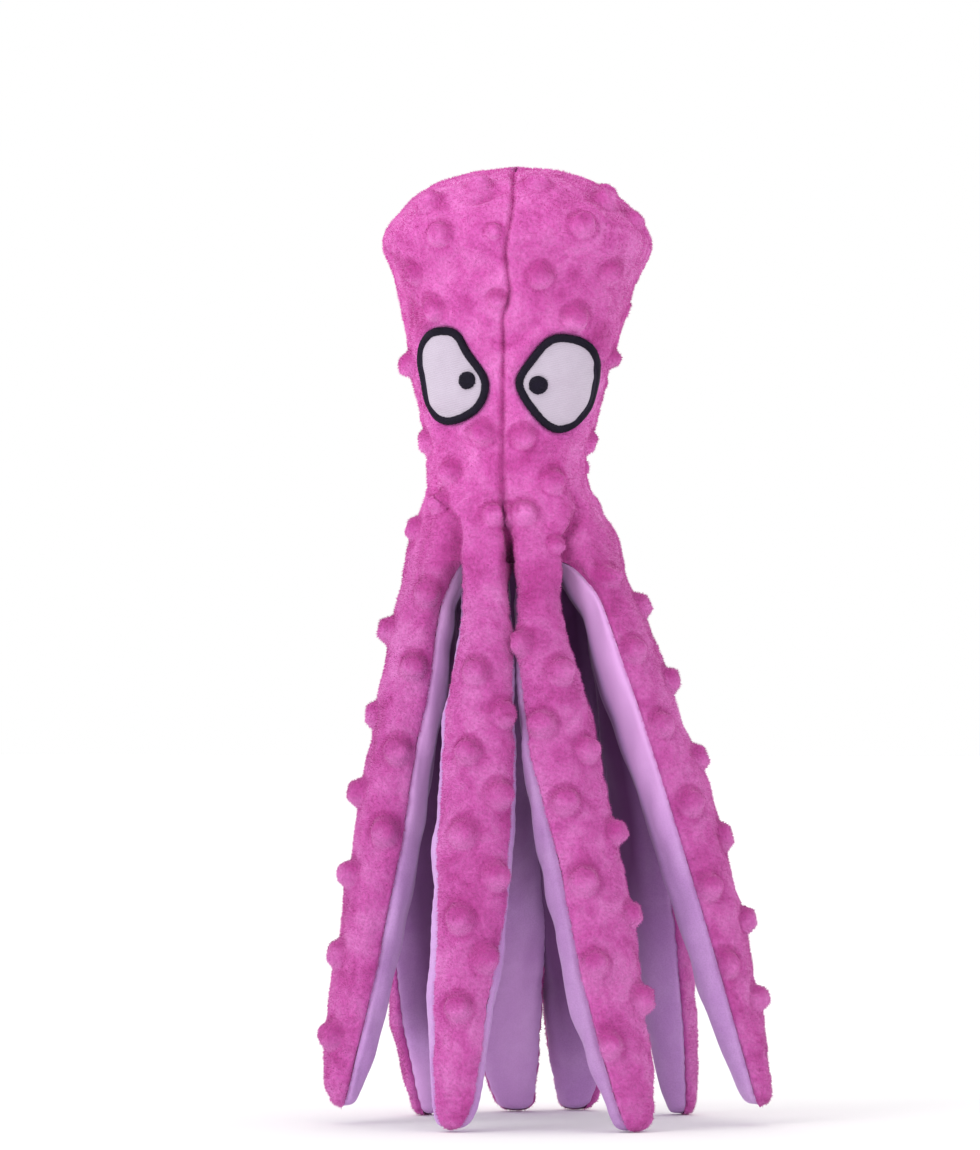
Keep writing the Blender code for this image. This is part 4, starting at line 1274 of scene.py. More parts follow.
def paper_material(look):
    """The plain paper of the floor."""
    material, tree, shader = new_material("floor_paper")
    noise = piece_noise(tree, Scale=6.0, Detail=4.0)
    give(tree, shader, {
        "Base Color": mix_colour(tree, noise, toned(look.floor, 0.99), look.floor),
        "Roughness": 0.9, "Specular IOR Level": 0.1,
    })
    return material


def dress(thing, material):
    """Give a piece its material and its slot's name."""
    thing.data.materials.clear()
    thing.data.materials.append(material)


def material_for(name, build):
    """A material that several operators share."""
    return bpy.data.materials.get(name) or build()


# Pile and stitches by geometry nodes


def tree_with(name, sizes):
    """A geometry node tree with a geometry socket and named number inputs."""
    tree = bpy.data.node_groups.new(name, "GeometryNodeTree")
    face = tree.interface
    face.new_socket("Geometry", in_out="INPUT", socket_type="NodeSocketGeometry")
    for label, value in sizes:
        kind = "NodeSocketInt" if isinstance(value, int) else "NodeSocketFloat"
        socket = face.new_socket(label, in_out="INPUT", socket_type=kind)
        socket.default_value = value
    face.new_socket("Material", in_out="INPUT", socket_type="NodeSocketMaterial")
    face.new_socket("Geometry", in_out="OUTPUT", socket_type="NodeSocketGeometry")
    return tree, tree.nodes.new("NodeGroupInput"), tree.nodes.new("NodeGroupOutput")


def stored(tree, geometry, name, value, kind, domain="POINT"):
    """Geometry with a named value stored on it."""
    node = add_node(
        tree, "GeometryNodeStoreNamedAttribute", data_type=kind, domain=domain,
        Geometry=geometry, Name=name, Value=value,
    )
    return node.outputs["Geometry"]


def named(tree, name, kind="FLOAT_VECTOR"):
    """A named value read from the geometry."""
    node = add_node(tree, "GeometryNodeInputNamedAttribute", data_type=kind, Name=name)
    return node.outputs["Attribute"]


def vector_sum(tree, operation, first, second=(0, 0, 0), scale=1.0):
    """A sum of vectors, or a vector scaled."""
    node = add_node(tree, "ShaderNodeVectorMath", operation=operation)
    for socket, value in ((0, first), (1, second), (3, scale)):
        feed(tree, node.inputs[socket], value)
    return node.outputs[0]


def position(tree):
    """The places of the geometry's points."""
    return tree.nodes.new("GeometryNodeInputPosition").outputs[0]


def random_vector(tree, low, high, seed=0):
    """A random vector between two corners."""
    node = add_node(tree, "FunctionNodeRandomValue", data_type="FLOAT_VECTOR", Seed=seed)
    feed(tree, node.inputs[0], low)
    feed(tree, node.inputs[1], high)
    return node.outputs[0]


def random_number(tree, low, high, seed=0):
    """A random number between two others."""
    node = add_node(tree, "FunctionNodeRandomValue", data_type="FLOAT", Seed=seed)
    feed(tree, node.inputs[2], low)
    feed(tree, node.inputs[3], high)
    return node.outputs[1]


def realized(tree, geometry):
    """Instances made real."""
    real = add_node(tree, "GeometryNodeRealizeInstances", Geometry=geometry)
    return real.outputs["Geometry"]


def placed(tree, points, instance, rotation, scale):
    """An instance set on each point, turned and sized, and made real."""
    place = add_node(
        tree, "GeometryNodeInstanceOnPoints",
        Points=points, Instance=instance, Rotation=rotation, Scale=scale,
    )
    return realized(tree, place.outputs["Instances"])


def put_out(tree, geometry, given, out):
    """A tree's geometry, put out with the material that it was given."""
    paint = add_node(
        tree, "GeometryNodeSetMaterial", Geometry=geometry, Material=given.outputs["Material"]
    )
    feed(tree, out.inputs["Geometry"], paint.outputs["Geometry"])


def brushed_turn(tree, normal, lean):
    """The turn of a fibre: off the cloth, swept by the nap and a little astray."""
    noise = add_node(tree, "ShaderNodeTexNoise", Vector=position(tree), Scale=110.0, Detail=3.0)
    swirl = vector_sum(tree, "SUBTRACT", noise.outputs["Color"], (0.5, 0.5, 0.64))
    swirl = vector_sum(tree, "SCALE", swirl, scale=3.4)
    stray = random_vector(tree, (-0.35,) * 3, (0.35,) * 3)
    swirl = vector_sum(tree, "SCALE", vector_sum(tree, "ADD", swirl, stray), scale=lean)
    way = vector_sum(tree, "ADD", normal, swirl)
    turn = add_node(tree, "FunctionNodeAlignRotationToVector", axis="Z", Vector=way)
    return turn.outputs["Rotation"]


def single_fibre(tree, given):
    """One tapering fibre, with its share of the way up stored along it."""
    length = given.outputs["Length"]
    cone = add_node(
        tree, "GeometryNodeMeshCone", fill_type="NGON", Vertices=3, Side_Segments=1,
        Radius_Top=0.0, Radius_Bottom=given.outputs["Radius"], Depth=length,
    )
    spot = vector_sum(tree, "SCALE", position(tree), scale=6.0)
    fibre = stored(tree, cone.outputs["Mesh"], "spot", spot, "FLOAT_VECTOR")
    place = add_node(tree, "ShaderNodeSeparateXYZ", Vector=position(tree))
    share = arithmetic(tree, "DIVIDE", place.outputs["Z"], length)
    return stored(tree, fibre, "along", share, "FLOAT")


def pile_tree():
    """Fibres scattered over plush, leaning with its nap."""
    tree, given, out = tree_with("Pile", [
        ("Density", 1.0e6), ("Length", 0.0015), ("Radius", 0.0001), ("Lean", 0.9), ("Seed", 1),
    ])
    seed = given.outputs["Seed"]
    density = arithmetic(tree, "MULTIPLY", named(tree, "pile", "FLOAT"), given.outputs["Density"])
    scatter = add_node(
        tree, "GeometryNodeDistributePointsOnFaces", distribute_method="RANDOM",
        Mesh=given.outputs["Geometry"], Seed=seed, Density=density,
    )
    roots = stored(tree, scatter.outputs["Points"], "root", named(tree, "OFBake"), "FLOAT_VECTOR")
    roots = stored(tree, roots, "tuft", random_number(tree, 0.0, 1.0, seed), "FLOAT")
    turn = brushed_turn(tree, scatter.outputs["Normal"], given.outputs["Lean"])
    size = random_vector(tree, (0.8, 0.8, 0.62), (1.2, 1.2, 1.15))
    pile = placed(tree, roots, single_fibre(tree, given), turn, size)
    spread = vector_sum(tree, "ADD", named(tree, "root"), named(tree, "spot"))
    put_out(tree, stored(tree, pile, "OFBake", spread, "FLOAT2", "CORNER"), given, out)
    return tree


def single_stitch(tree):
    """The arch of one stitch, of radius 1, standing on its two ends."""
    arch = add_node(
        tree, "GeometryNodeCurveArc", mode="RADIUS", Resolution=8, Radius=1.0,
        Sweep_Angle=math.pi,
    )
    stand = add_node(
        tree, "GeometryNodeTransform",
        Geometry=arch.outputs["Curve"], Rotation=(math.pi / 2, 0, 0),
    )
    return stand.outputs["Geometry"]


def stitch_turn(tree, seed):
    """The turn of a stitch: up along its lift, and across the path a little astray."""
    turn = "FunctionNodeAlignRotationToVector"
    up = add_node(tree, turn, axis="Z", Vector=named(tree, "lift"))
    stray = random_vector(tree, (-0.09,) * 3, (0.09,) * 3, seed)
    way = vector_sum(tree, "ADD", named(tree, "side"), stray)
    side = add_node(
        tree, turn, axis="X", pivot_axis="Z", Rotation=up.outputs["Rotation"], Vector=way
    )
    return side.outputs["Rotation"]


def stitch_tree():
    """Satin stitches laid side by side across a path of points."""
    tree, given, out = tree_with("Satin stitches", [
        ("Radius", 0.00017), ("Height", 0.0006), ("Seed", 1),
    ])
    path = add_node(tree, "GeometryNodeMeshToPoints", Mesh=given.outputs["Geometry"])
    reach = named(tree, "reach", "FLOAT")
    reach = arithmetic(tree, "MULTIPLY", reach, random_number(tree, 0.95, 1.06))
    size = add_node(tree, "ShaderNodeCombineXYZ", X=reach, Y=reach, Z=given.outputs["Height"])
    turn = stitch_turn(tree, given.outputs["Seed"])
    arches = placed(tree, path.outputs["Points"], single_stitch(tree), turn, size.outputs[0])
    ring = add_node(
        tree, "GeometryNodeCurvePrimitiveCircle", Resolution=5, Radius=given.outputs["Radius"]
    )
    tube = add_node(
        tree, "GeometryNodeCurveToMesh",
        Curve=arches, Profile_Curve=ring.outputs["Curve"], Fill_Caps=True,
    )
    smooth = add_node(tree, "GeometryNodeSetShadeSmooth", Geometry=tube.outputs["Mesh"])
    put_out(tree, realized(tree, smooth.outputs["Geometry"]), given, out)
    return tree


def grown(name, base, tree, material, values):
    """A mesh that a geometry node tree makes from a base mesh."""
    seed = bpy.data.objects.new(name + "_base", base)
    bpy.context.scene.collection.objects.link(seed)
    step = seed.modifiers.new("grow", "NODES")
    step.node_group = tree
    sockets = {
        item.name: item.identifier
        for item in tree.interface.items_tree
        if item.item_type == "SOCKET" and item.in_out == "INPUT"
    }
    for label, value in values.items():
        step[sockets[label]] = value
    step[sockets["Material"]] = material
    look = bpy.context.evaluated_depsgraph_get()
    look.update()
    mesh = bpy.data.meshes.new_from_object(seed.evaluated_get(look), depsgraph=look)
    bpy.data.objects.remove(seed)
    if len(mesh.polygons) == 0:
        raise RuntimeError(f"{name} grew nothing")
    mesh.name = name
    thing = bpy.data.objects.new(name, mesh)
    bpy.context.scene.collection.objects.link(thing)
    return thing


def grow_pile(name, base, look, seed):
    """Pile fibres on a piece of plush."""
    tree = bpy.data.node_groups.get("Pile") or pile_tree()
    material = material_for("pile_fibre", lambda: pile_material(look))
    pile = grown(name, base.data.copy(), tree, material, {
        "Density": look.fibre_density, "Length": look.fibre_length,
        "Radius": look.fibre_radius, "Lean": look.fibre_lean, "Seed": seed,
    })
    for label in ("root", "spot", "pile"):
        if label in pile.data.attributes:
            pile.data.attributes.remove(pile.data.attributes[label])
    dress(pile, material)
    return pile


# The eyes


def rounded(curve, reach):
    """A closed flat curve, evenly spaced and smoothed over a reach."""
    closed = np.vstack([curve, curve[:1]])
    length = np.concatenate([[0], np.cumsum(np.linalg.norm(np.diff(closed, axis=0), axis=-1))])
    wanted = np.linspace(0, length[-1], OUTLINE_POINTS, endpoint=False)
    even = np.stack([np.interp(wanted, length, closed[:, k]) for k in (0, 1)], -1)
    away = np.minimum(wanted, length[-1] - wanted)
    weight = np.fft.fft(bell(away, reach))
    smooth = np.fft.ifft(np.fft.fft(even, axis=0) * (weight / weight[0])[:, None], axis=0)
    return smooth.real, length[-1]


def eye_path(eye, inset, count):
    """Points round an eye's outline in the plane of the face, evenly spaced."""
    shares = np.array(eye["outline"])
    curve, _ = rounded(shares * (eye["half_width"], EYE_HALF_HEIGHT), reach=0.0026)
    along = unit(np.roll(curve, -3, 0) - np.roll(curve, 3, 0))
    inward = np.stack([along[:, 1], -along[:, 0]], -1)
    inward *= np.sign(np.sum(-curve * inward))
    curve, length = rounded(curve + inward * (inset - 0.0003), reach=0.0008)
    closed = np.vstack([curve, curve[:1]])
    known = np.arange(OUTLINE_POINTS + 1)
    wanted = np.arange(count) * OUTLINE_POINTS / count
    points = np.stack([np.interp(wanted, known, closed[:, k]) for k in (0, 1)], -1)
    return points + np.array(eye["middle"]), length


def outline_distance(points, outline):
    """Distances of flat points from a closed outline, negative inside it."""
    start, end = outline, np.roll(outline, -1, 0)
    span = end - start
    best = np.full(len(points), 1e9)
    inside = np.zeros(len(points), bool)
    for a, b, s in zip(start, end, span):
        t = np.clip(((points - a) @ s) / max(s @ s, 1e-18), 0, 1)
        best = np.minimum(best, np.linalg.norm(points - a - t[:, None] * s, axis=-1))
        crosses = (a[1] > points[:, 1]) != (b[1] > points[:, 1])
        where = a[0] + (points[:, 1] - a[1]) * s[0] / (s[1] if abs(s[1]) > 1e-12 else 1e-12)
        inside ^= crosses & (points[:, 0] < where)
    return np.where(inside, -best, best)


def press_eyes(points, front):
    """How the stitched eyes press the head's plush down, and where no pile grows."""
    lift = np.zeros(points.shape[:-1])
    pile = np.ones(points.shape[:-1])
    clear = np.ones(points.shape[:-1])
    if not front:
        return lift, pile, clear
    flat = np.stack([points[..., 0] - HEAD_AXIS[0], points[..., 2]], -1)
    for eye in EYES.values():
        outline, _ = eye_path(eye, 0.0, 90)
        low, high = outline.min(0) - 0.012, outline.max(0) + 0.012
        near = np.all((flat > low) & (flat < high), -1) & (points[..., 1] < 0)
        away = outline_distance(flat[near], outline)
        puff = 0.00060 * bell(away, 0.0022, middle=0.0034)
        lift[near] += puff - 0.0010 * fall(away, start=-0.00048, span=0.0012)
        pile[near] *= rise(away, start=0.0001, span=0.0009)
        clear[near] *= rise(away, start=0.0004, span=0.0022)
    return lift, pile, clear


# Pieces on their bodies


def piece_ready(thing, body, *nodes):
    """A piece set on its body, in place of CAD nodes."""
    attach(thing, body)
    if nodes:
        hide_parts(*nodes)


def bend_at_root(thing):
    """Bake a piece's placement into its mesh."""
    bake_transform(thing)


def shared_plush(context):
    """The dotted plush of the head and the legs."""
    look = context.scene.octopus_plush
    return material_for("dotted_plush", lambda: plush_material(look))


def shared_velour(context):
    """The velour of the legs' linings and the underside."""
    look = context.scene.octopus_velour
    return material_for("lining_velour", lambda: velour_material(look))


# Operators


class OCTOPUS_OT_stage(bpy.types.Operator):
    """Set up the camera, the lights and the floor"""

    bl_idname = "octopus.stage"
    bl_label = "Stage"

    def execute(self, context):
        """Build the stage."""
        scene = context.scene
        scene.view_settings.view_transform = "Standard"
        self.camera(scene, scene.octopus_stage)
        self.floor(scene, scene.octopus_stage)
        self.lights(scene)
        return {"FINISHED"}

    def camera(self, scene, look):
        """The camera, far off and on the photograph's side."""
        right = Vector((math.cos(look.azimuth), math.sin(look.azimuth), 0))
        aim = Vector((HEAD_AXIS[0], 0, VIEW_HEIGHT)) - right * VIEW_SHIFT
        level = math.cos(look.elevation)
        away = Vector((
            math.sin(look.azimuth) * level, -math.cos(look.azimuth) * level,
            math.sin(look.elevation),
        ))
        lens = bpy.data.cameras.new("camera")
        camera = bpy.data.objects.new("camera", lens)
        scene.collection.objects.link(camera)
        camera.location = aim + away * look.distance
        camera.rotation_euler = (-away).to_track_quat("-Z", "Y").to_euler()
        lens.sensor_fit = "VERTICAL"
        lens.sensor_height = 36
        lens.clip_start = 0.05
        view_height = look.view_width * PHOTO_SIZE[1] / PHOTO_SIZE[0]
        lens.lens = lens.sensor_height * look.distance / view_height
        scene.camera = camera

    def floor(self, scene, look):
        """The plain floor that the tips stand on."""
        mesh = bpy.data.meshes.new("floor")
        work = bmesh.new()
        bmesh.ops.create_grid(work, x_segments=1, y_segments=1, size=FLOOR_HALF_WIDTH)
        work.to_mesh(mesh)
        work.free()
        floor = bpy.data.objects.new("floor", mesh)
        scene.collection.objects.link(floor)
        mesh.materials.append(paper_material(look))

    def lights(self, scene):
        """Two broad suns and an even white sky."""
        world = bpy.data.worlds.new("studio")
        scene.world = world
        world.use_nodes = True
        sky = world.node_tree.nodes["Background"]
        give(world.node_tree, sky, {"Color": (*WHITE, 1.0), "Strength": 1.0})
        for name, direction, spread, strength in SUNS:
            lamp = bpy.data.lights.new(name, "SUN")
            lamp.angle = math.radians(spread)
            lamp.energy = strength
            light = bpy.data.objects.new(name, lamp)
            scene.collection.objects.link(light)
            light.rotation_euler = Vector(direction).to_track_quat("Z", "Y").to_euler()


class OCTOPUS_OT_head(bpy.types.Operator):
    """Make the four sewn panels of the head, with their dots and pile"""

    bl_idname = "octopus.head"
    bl_label = "Head"

    def execute(self, context):
        """Build the head's panels."""
        look = context.scene.octopus_plush
        material = shared_plush(context)
        crown = 0.78
        rows = np.concatenate([
            np.linspace(0, crown, 160),
            1 - (1 - crown) * np.cos(np.linspace(0, math.pi / 2, 90)[1:]),
        ])
        shares = np.minimum(rows, 1.0)[:, None]
        dots = head_dot_places()
        quarters = ("back_right", "back_left", "front_left", "front_right")
        for number, place in enumerate(quarters):
            front = place.startswith("front")
            start = number * 2 * SECTOR - (math.tau if front else 0)
            first = sector_angles(start + SECTOR / 2)
            second = sector_angles(start + SECTOR * 3 / 2)
            nominal = np.concatenate([first, second[1:]])[None] + 0 * shares
            grid, normals, shade, pile = plush_skin(nominal, shares, dots, look, front)
            # The dot values carry the plush's painted shade, highlight and slit shadow.
            marks = {"dot": shade, "pile": pile}
            panel = cloth(f"head_plush_{place}", grid, normals, even_map(grid), marks)
            dress(panel, material)
            fur = grow_pile(f"head_pile_{place}", panel, look, HEAD_PILE_SEED + number)
            piece_ready(panel, "head", f"head_panel_{place}")
            piece_ready(fur, "head")
        return {"FINISHED"}


class OCTOPUS_OT_legs(bpy.types.Operator):
    """Make the eight legs: dotted cover, smooth lining, crinkle film and pile"""

    bl_idname = "octopus.legs"
    bl_label = "Legs"

    def execute(self, context):
        """Build the legs."""
        look = context.scene.octopus_plush
        plush, velour = shared_plush(context), shared_velour(context)
        film = moulded_material("crinkle_film", (0.80, 0.82, 0.85), roughness=0.18, scale=90.0)
        for number, name in enumerate(LEGS):
            shape = LegShape(name)
            self.cover(shape, look, plush, number)
            self.lining(shape, velour, number)
            self.film(shape, film)
        return {"FINISHED"}

    def cover(self, shape, look, material, number):
        """The dotted cover and its pile."""
        share = leg_places(rows=190)
        sector = sector_angles(shape.root_angle)[None] + np.zeros((2, 1))
        first_rows = np.array([[0.0], [0.004]])
        hem = plush_skin(sector, first_rows, head_dot_places(), look, False)[0][0]
        minus, plus = shape.seam_angles(share)
        angle = (plus + minus) / 2 + (plus - minus) / 2 * COLUMNS
        grid = leg_surface(shape, share, hem, angle)
        middle = shape.frames(share)[0][:, None]
        normals = grid_normals(grid, middle)
        length = share * shape.length
        start = rise(length, span=0.007)[:, None]
        grid = stuffed(grid, normals, start)
        radius, height = look.dot_radius, look.dot_height
        lift, shade = raise_dots(grid, shape.dots(), radius, height, LEG_DOT_SEED + number)
        near = edge_distance(grid)
        relief = lift * rise(near, span=0.0040) + seam_roll(near) + layered(grid, CLUMPS)
        relief = relief + puckers(middle, length, near, pitch=0.0047, reach=0.003) - PILE_SINK
        shade = cover_shade(shape, shade, near, length)
        grid = to_the_tip(shape, grid, normals, relief * start, length, sink=0.0002)
        # The dot values carry the plush's painted shade, highlight and slit shadow.
        marks = {"dot": shade, "pile": 0.35 + 0.65 * rise(near, span=0.0008)}
        piece = cloth(f"leg_{shape.name}_plush", grid, normals, even_map(grid), marks)
        dress(piece, material)
        fur = grow_pile(f"leg_{shape.name}_pile", piece, look, LEG_PILE_SEED + number)
        bend_at_root(piece)
        bend_at_root(fur)
        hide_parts(f"leg_{shape.name}_cover")

    def lining(self, shape, material, number):
        """The smooth lining that closes the leg's inner side."""
        share = leg_places(rows=130)
        across = (crowded(72, crowding=0.35) + 1) / 2
        minus, plus = shape.seam_angles(share)
        tuck = math.radians(3)
        angle = plus - tuck + across * (math.tau - plus + minus + 2 * tuck)
        grid = leg_surface(shape, share, lining_hem(shape, across), angle)
        middle = shape.frames(share)[0][:, None]
        normals = grid_normals(grid, middle)
        grid = stuffed(grid, normals, strength=0.6)
        length = share * shape.length
        near = edge_distance(grid)
        start = rise(length, span=0.010)[:, None]
        drawn_out = grid * np.array([1, 1, 0.35])
        folds = 0.00030 * ripple(drawn_out, 0.010, LINING_SEED + number)
        folds = folds * rise(near, span=0.004)
        folds = folds + puckers(middle, length, near, pitch=0.0043, reach=0.004)
        relief = folds * start - LINING_SINK - 0.0009 * bell(near, 0.0010)
        grid = to_the_tip(shape, grid, normals, relief, length, sink=0.0010)
        # The lining's painted shade and painted light.
        marks = {"shade": lining_shade(shape, grid, middle, near, length)}
        piece = cloth(f"leg_{shape.name}_velour", grid, normals, even_map(grid), marks)
        dress(piece, material)
        bend_at_root(piece)
        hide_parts(f"leg_{shape.name}_lining")

    def film(self, shape, material):
        """The crinkled film inside the leg."""
        thickness, room = 0.00030, 0.0036
        share = np.linspace(0.02, 0.90, 90)
        centre, width, outward, _ = shape.frames(share)
        size = smooth_values(LEG_PROFILE, share)[:, None]
        across = np.linspace(-1, 1, 25)[None]
        half = size * LEG_HALF_WIDTH * (0.96 - max(shape.narrowing, 0)) - room
        fold = np.abs((across * 2 + 4.5) % 2 - 1) * 2 - 1
        depth = size * LEG_HALF_THICKNESS * (0.12 + 0.28 * fold * (1 - across**4))
        grid = centre[:, None] + width[:, None] * (half * across)[..., None]
        sharp = np.sign(ripple(grid, 0.0060, 70)) * np.abs(ripple(grid, 0.0045, 71))
        grid = grid + outward[:, None] * (depth + 0.00035 * sharp)[..., None]
        normals = grid_normals(grid, centre[:, None] - outward[:, None])
        front = grid + normals * thickness / 2
        back = grid - normals * thickness / 2
        wrapped = np.concatenate([front, back[:, ::-1], front[:, :1]], axis=1)
        outside = np.concatenate([normals, -normals[:, ::-1], normals[:, :1]], axis=1)
        piece = cloth(f"leg_{shape.name}_crinkle", wrapped, outside, even_map(wrapped))
        dress(piece, material)
        bend_at_root(piece)
        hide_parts(f"leg_{shape.name}_film")


class OCTOPUS_OT_inside(bpy.types.Operator):
    """Make the underside's lining and the filling, and dress the squeaker"""

    bl_idname = "octopus.inside"
    bl_label = "Underside and inside"

    def execute(self, context):
        """Build the pieces in the head."""
        self.underside(shared_velour(context))
        self.filling()
        self.squeaker()
        return {"FINISHED"}

    def underside(self, material):
        """The domed lining between the legs."""
        angles = np.linspace(0, math.tau, 97)[None]
        share = np.linspace(1.0, 0.0, 40)[:, None]
        hem = np.zeros_like(angles)
        nominal = (angles + math.pi) % math.tau - math.pi
        turned = draped(nominal, hem)
        radius = (head_radius(turned, hem, nominal) - UNDERSIDE_INSET) * share
        height = HINGE_HEIGHT + 0.0002 + DOME_HEIGHT * (1 - share**2) + 0 * turned
        grid = np.stack([radius * np.cos(turned), radius * np.sin(turned), height], -1)
        grid = grid + HEAD_AXIS
        normals = grid_normals(grid, grid + np.array([0, 0, 0.01]))
        # Painted shade: the whole underside takes the lining's deep colour.
        marks = {"shade": np.ones(grid.shape[:-1])}
        piece = cloth("underside_velour", grid, normals, even_map(grid), marks)
        dress(piece, material)
        piece_ready(piece, "head", "underside_lining")

    def squeaker(self):
        """The materials of the squeaker's bulb and plug."""
        pale, red = (0.85, 0.86, 0.84), (0.80, 0.10, 0.08)
        blown = moulded_material("blown_plastic", pale, roughness=0.28, scale=60.0)
        moulded = moulded_material("moulded_plastic", red, roughness=0.36, scale=120.0)
        for node, material in (("squeaker_bulb", blown), ("squeaker_reed_plug", moulded)):
            for spot in frame["nodes"][node].material_slots:
                spot.material = material

    def filling(self):
        """The lumpy fibre filling that fits the head's skin."""
        angles = np.linspace(0, math.tau, 161)[None]
        low, high = FILLING_SHARES
        share = np.concatenate([np.linspace(low, 0.80, 80), np.linspace(0.80, high, 40)[1:]])
        grid = head_skin(angles, share[:, None])
        middle = np.zeros_like(grid)
        middle[...] = HEAD_AXIS
        middle[..., 2] = np.clip(grid[..., 2], 0, HINGE_HEIGHT + 0.7 * HEAD_HEIGHT)
        normals = grid_normals(grid, middle)
        lumps = sum(
            height * np.abs(ripple(grid, wavelength, seed))
            for height, wavelength, seed in FIBRE_LUMPS
        )
        inset = 0.0040 + 0.0035 * fall(share, span=0.35)[:, None]
        grid = grid - normals * (inset + lumps)[..., None]
        bottom = HEAD_AXIS + np.array([0, 0, HINGE_HEIGHT + low * HEAD_HEIGHT])
        top = grid[-1].mean(axis=0) + np.array([0, 0, 0.0004])
        ends = [np.broadcast_to(point, (1, grid.shape[1], 3)) for point in (bottom, top)]
        grid = np.concatenate([ends[0], grid, ends[1]])
        normals = grid_normals(grid, np.concatenate([middle[:1], middle, middle[-1:]]))
        filling = cloth("head_fibre_filling", grid, normals, even_map(grid))
        dress(filling, fibre_material())
        piece_ready(filling, "head", "head_filling")


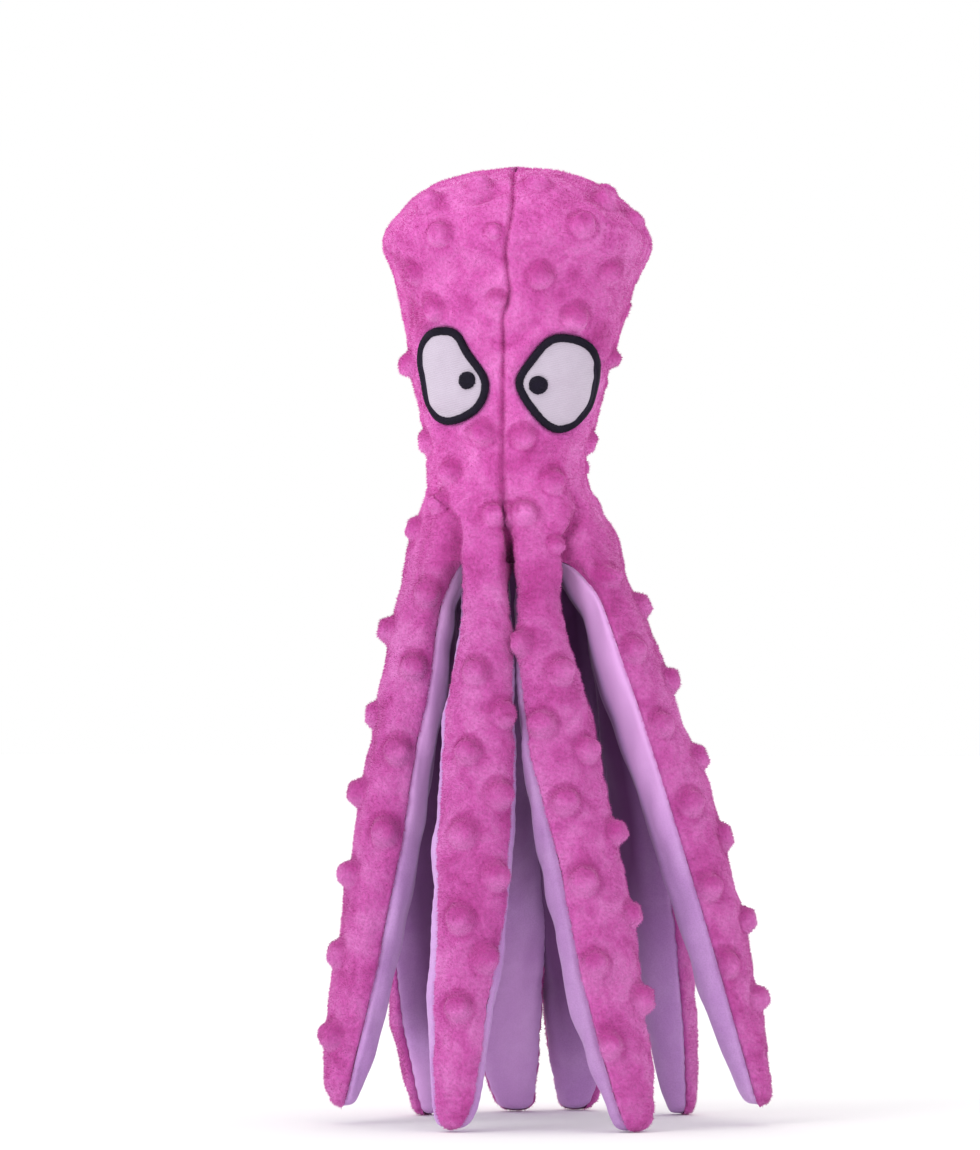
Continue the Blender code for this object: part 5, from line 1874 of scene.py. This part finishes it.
class OCTOPUS_OT_eyes(bpy.types.Operator):
    """Embroider the eyes"""

    bl_idname = "octopus.eyes"
    bl_label = "Eyes"

    def execute(self, context):
        """Build both eyes."""
        look = context.scene.octopus_eyes
        felt = felt_material(look)
        satin = satin_material(look)
        for side, eye in EYES.items():
            self.patch(side, eye, look, felt)
            self.border(side, eye, look, satin)
            self.pupil(side, eye, look, satin)
        return {"FINISHED"}

    def patch(self, side, eye, look, material):
        """The pale cloth inside the border, a little crowned."""
        outline, _ = eye_path(eye, look.border_width * 0.45, 120)
        outline = np.vstack([outline, outline[:1]])
        middle = np.array(eye["middle"])
        share = np.concatenate([[1.0], np.linspace(1.0, 0.0, 34)])[:, None, None]
        flat = middle + (outline[None] - middle) * share
        crown = 0.0002 + 0.0007 * (1 - share[..., 0] ** 2) + 0 * flat[..., 0]
        crown[0] = -0.0012
        grid, normals = on_face(flat[..., 0], flat[..., 1], crown)
        grid = grid + normals * 0.00008 * ripple(grid, 0.006, 90)[..., None]
        piece = cloth(f"eye_{side}_cloth", grid, normals, even_map(grid))
        dress(piece, material)
        piece_ready(piece, "head", f"eye_{side}_patch")

    def border(self, side, eye, look, material):
        """The padded ring under the stitches, and the stitches across it."""
        half = look.border_width / 2
        ways = np.linspace(-1.0, 1.0, 13)
        rings = [eye_path(eye, half * (1 + way * 0.94), 200)[0] for way in ways]
        flat = np.stack([np.vstack([ring, ring[:1]]) for ring in rings])
        crown = 0.0014 * np.sqrt(np.clip(1 - ways**2, 0, 1)) - 0.0004
        lift = np.broadcast_to(crown[:, None], flat.shape[:-1])
        grid, normals = on_face(flat[..., 0], flat[..., 1], lift)
        ring = cloth(f"eye_{side}_border_pad", grid, normals, even_map(grid))
        dress(ring, material)
        piece_ready(ring, "head", f"eye_{side}_border")
        _, length = eye_path(eye, half, 4)
        count = int(length / (look.thread_radius * 2 * 0.98))
        low = np.full(count, 0.0002)
        line, _ = eye_path(eye, half, count)
        inner, _ = eye_path(eye, half * 1.6, count)
        points, normals = on_face(line[:, 0], line[:, 1], low)
        inside, _ = on_face(inner[:, 0], inner[:, 1], low)
        marks = {"side": unit(inside - points), "lift": normals, "reach": np.full(count, half)}
        name = f"eye_{side}_border_stitches"
        self.stitches(name, points, marks, look, material, height=0.0010)

    def pupil(self, side, eye, look, material):
        """The round pupil, of stitches side by side."""
        size = np.array([eye["half_width"], EYE_HALF_HEIGHT])
        middle = np.array(eye["middle"]) + np.array(eye["pupil"]) * size
        radius = eye["pupil_radius"]
        turn = np.linspace(0, math.tau, 49)[None]
        share = np.concatenate([[1.0], np.linspace(1.0, 0.0, 12)])[:, None]
        x = middle[0] + np.cos(turn) * share * radius
        z = middle[1] + np.sin(turn) * share * radius
        crown = 0.0010 + 0.0005 * (1 - share**2) + 0 * turn
        crown[0] = 0.0
        grid, normals = on_face(x, z, crown)
        disc = cloth(f"eye_{side}_pupil_pad", grid, normals, even_map(grid))
        dress(disc, material)
        piece_ready(disc, "head", f"eye_{side}_pupil")
        count = int(radius * 2 / (look.thread_radius * 1.9))
        step = np.linspace(-0.95, 0.95, count)
        x = middle[0] + step * radius * math.sin(PUPIL_SLANT)
        z = middle[1] + step * radius * math.cos(PUPIL_SLANT)
        points, normals = on_face(x, z, np.full(count, 0.0010))
        sideways = [math.cos(PUPIL_SLANT), 0, -math.sin(PUPIL_SLANT)]
        marks = {
            "side": np.broadcast_to(sideways, points.shape), "lift": normals,
            "reach": radius * np.sqrt(1 - step**2) * 1.04,
        }
        name = f"eye_{side}_pupil_stitches"
        self.stitches(name, points, marks, look, material, height=0.0007)

    def stitches(self, name, points, marks, look, material, height):
        """Stitches across a path of points, which tell their side, lift and reach."""
        base = bpy.data.meshes.new(name + "_path")
        base.from_pydata(points.tolist(), [], [])
        for label, values in marks.items():
            flat = values.ndim == 1
            mark = base.attributes.new(label, "FLOAT" if flat else "FLOAT_VECTOR", "POINT")
            field = "value" if flat else "vector"
            mark.data.foreach_set(field, values.astype(np.float32).ravel())
        tree = bpy.data.node_groups.get("Satin stitches") or stitch_tree()
        piece = grown(name, base, tree, material, {
            "Radius": look.thread_radius, "Height": height, "Seed": 3,
        })
        dress(piece, material)
        piece_ready(piece, "head")


class OCTOPUS_PT_sidebar(bpy.types.Panel):
    """Lists the octopus's pieces and their settings"""

    bl_idname = "OCTOPUS_PT_sidebar"
    bl_label = "Plush octopus"
    bl_space_type = "VIEW_3D"
    bl_region_type = "UI"
    bl_category = "Octopus"

    def draw(self, context):
        """Draw the operators and settings."""
        layout = self.layout
        for operator in OPERATORS:
            layout.operator(operator.bl_idname)
        for label in SETTINGS:
            group = getattr(context.scene, label)
            box = layout.box()
            for key in group.bl_rna.properties.keys():
                if key not in ("rna_type", "name"):
                    box.prop(group, key)


OPERATORS = (
    OCTOPUS_OT_stage, OCTOPUS_OT_head, OCTOPUS_OT_legs, OCTOPUS_OT_inside, OCTOPUS_OT_eyes,
)
SETTINGS = {
    "octopus_plush": PlushSettings,
    "octopus_velour": VelourSettings,
    "octopus_eyes": EyeSettings,
    "octopus_stage": StageSettings,
}


def register():
    """Register the classes and the scene's settings."""
    for kind in (*SETTINGS.values(), *OPERATORS, OCTOPUS_PT_sidebar):
        bpy.utils.register_class(kind)
    for label, kind in SETTINGS.items():
        setattr(bpy.types.Scene, label, bpy.props.PointerProperty(type=kind))


def unregister():
    """Undo what register did."""
    for label in SETTINGS:
        delattr(bpy.types.Scene, label)
    for kind in reversed((*SETTINGS.values(), *OPERATORS, OCTOPUS_PT_sidebar)):
        bpy.utils.unregister_class(kind)


def main():
    """Build everything."""
    register()
    bpy.ops.octopus.stage()
    bpy.ops.octopus.head()
    bpy.ops.octopus.legs()
    bpy.ops.octopus.inside()
    bpy.ops.octopus.eyes()


if __name__ == "__main__":
    main()
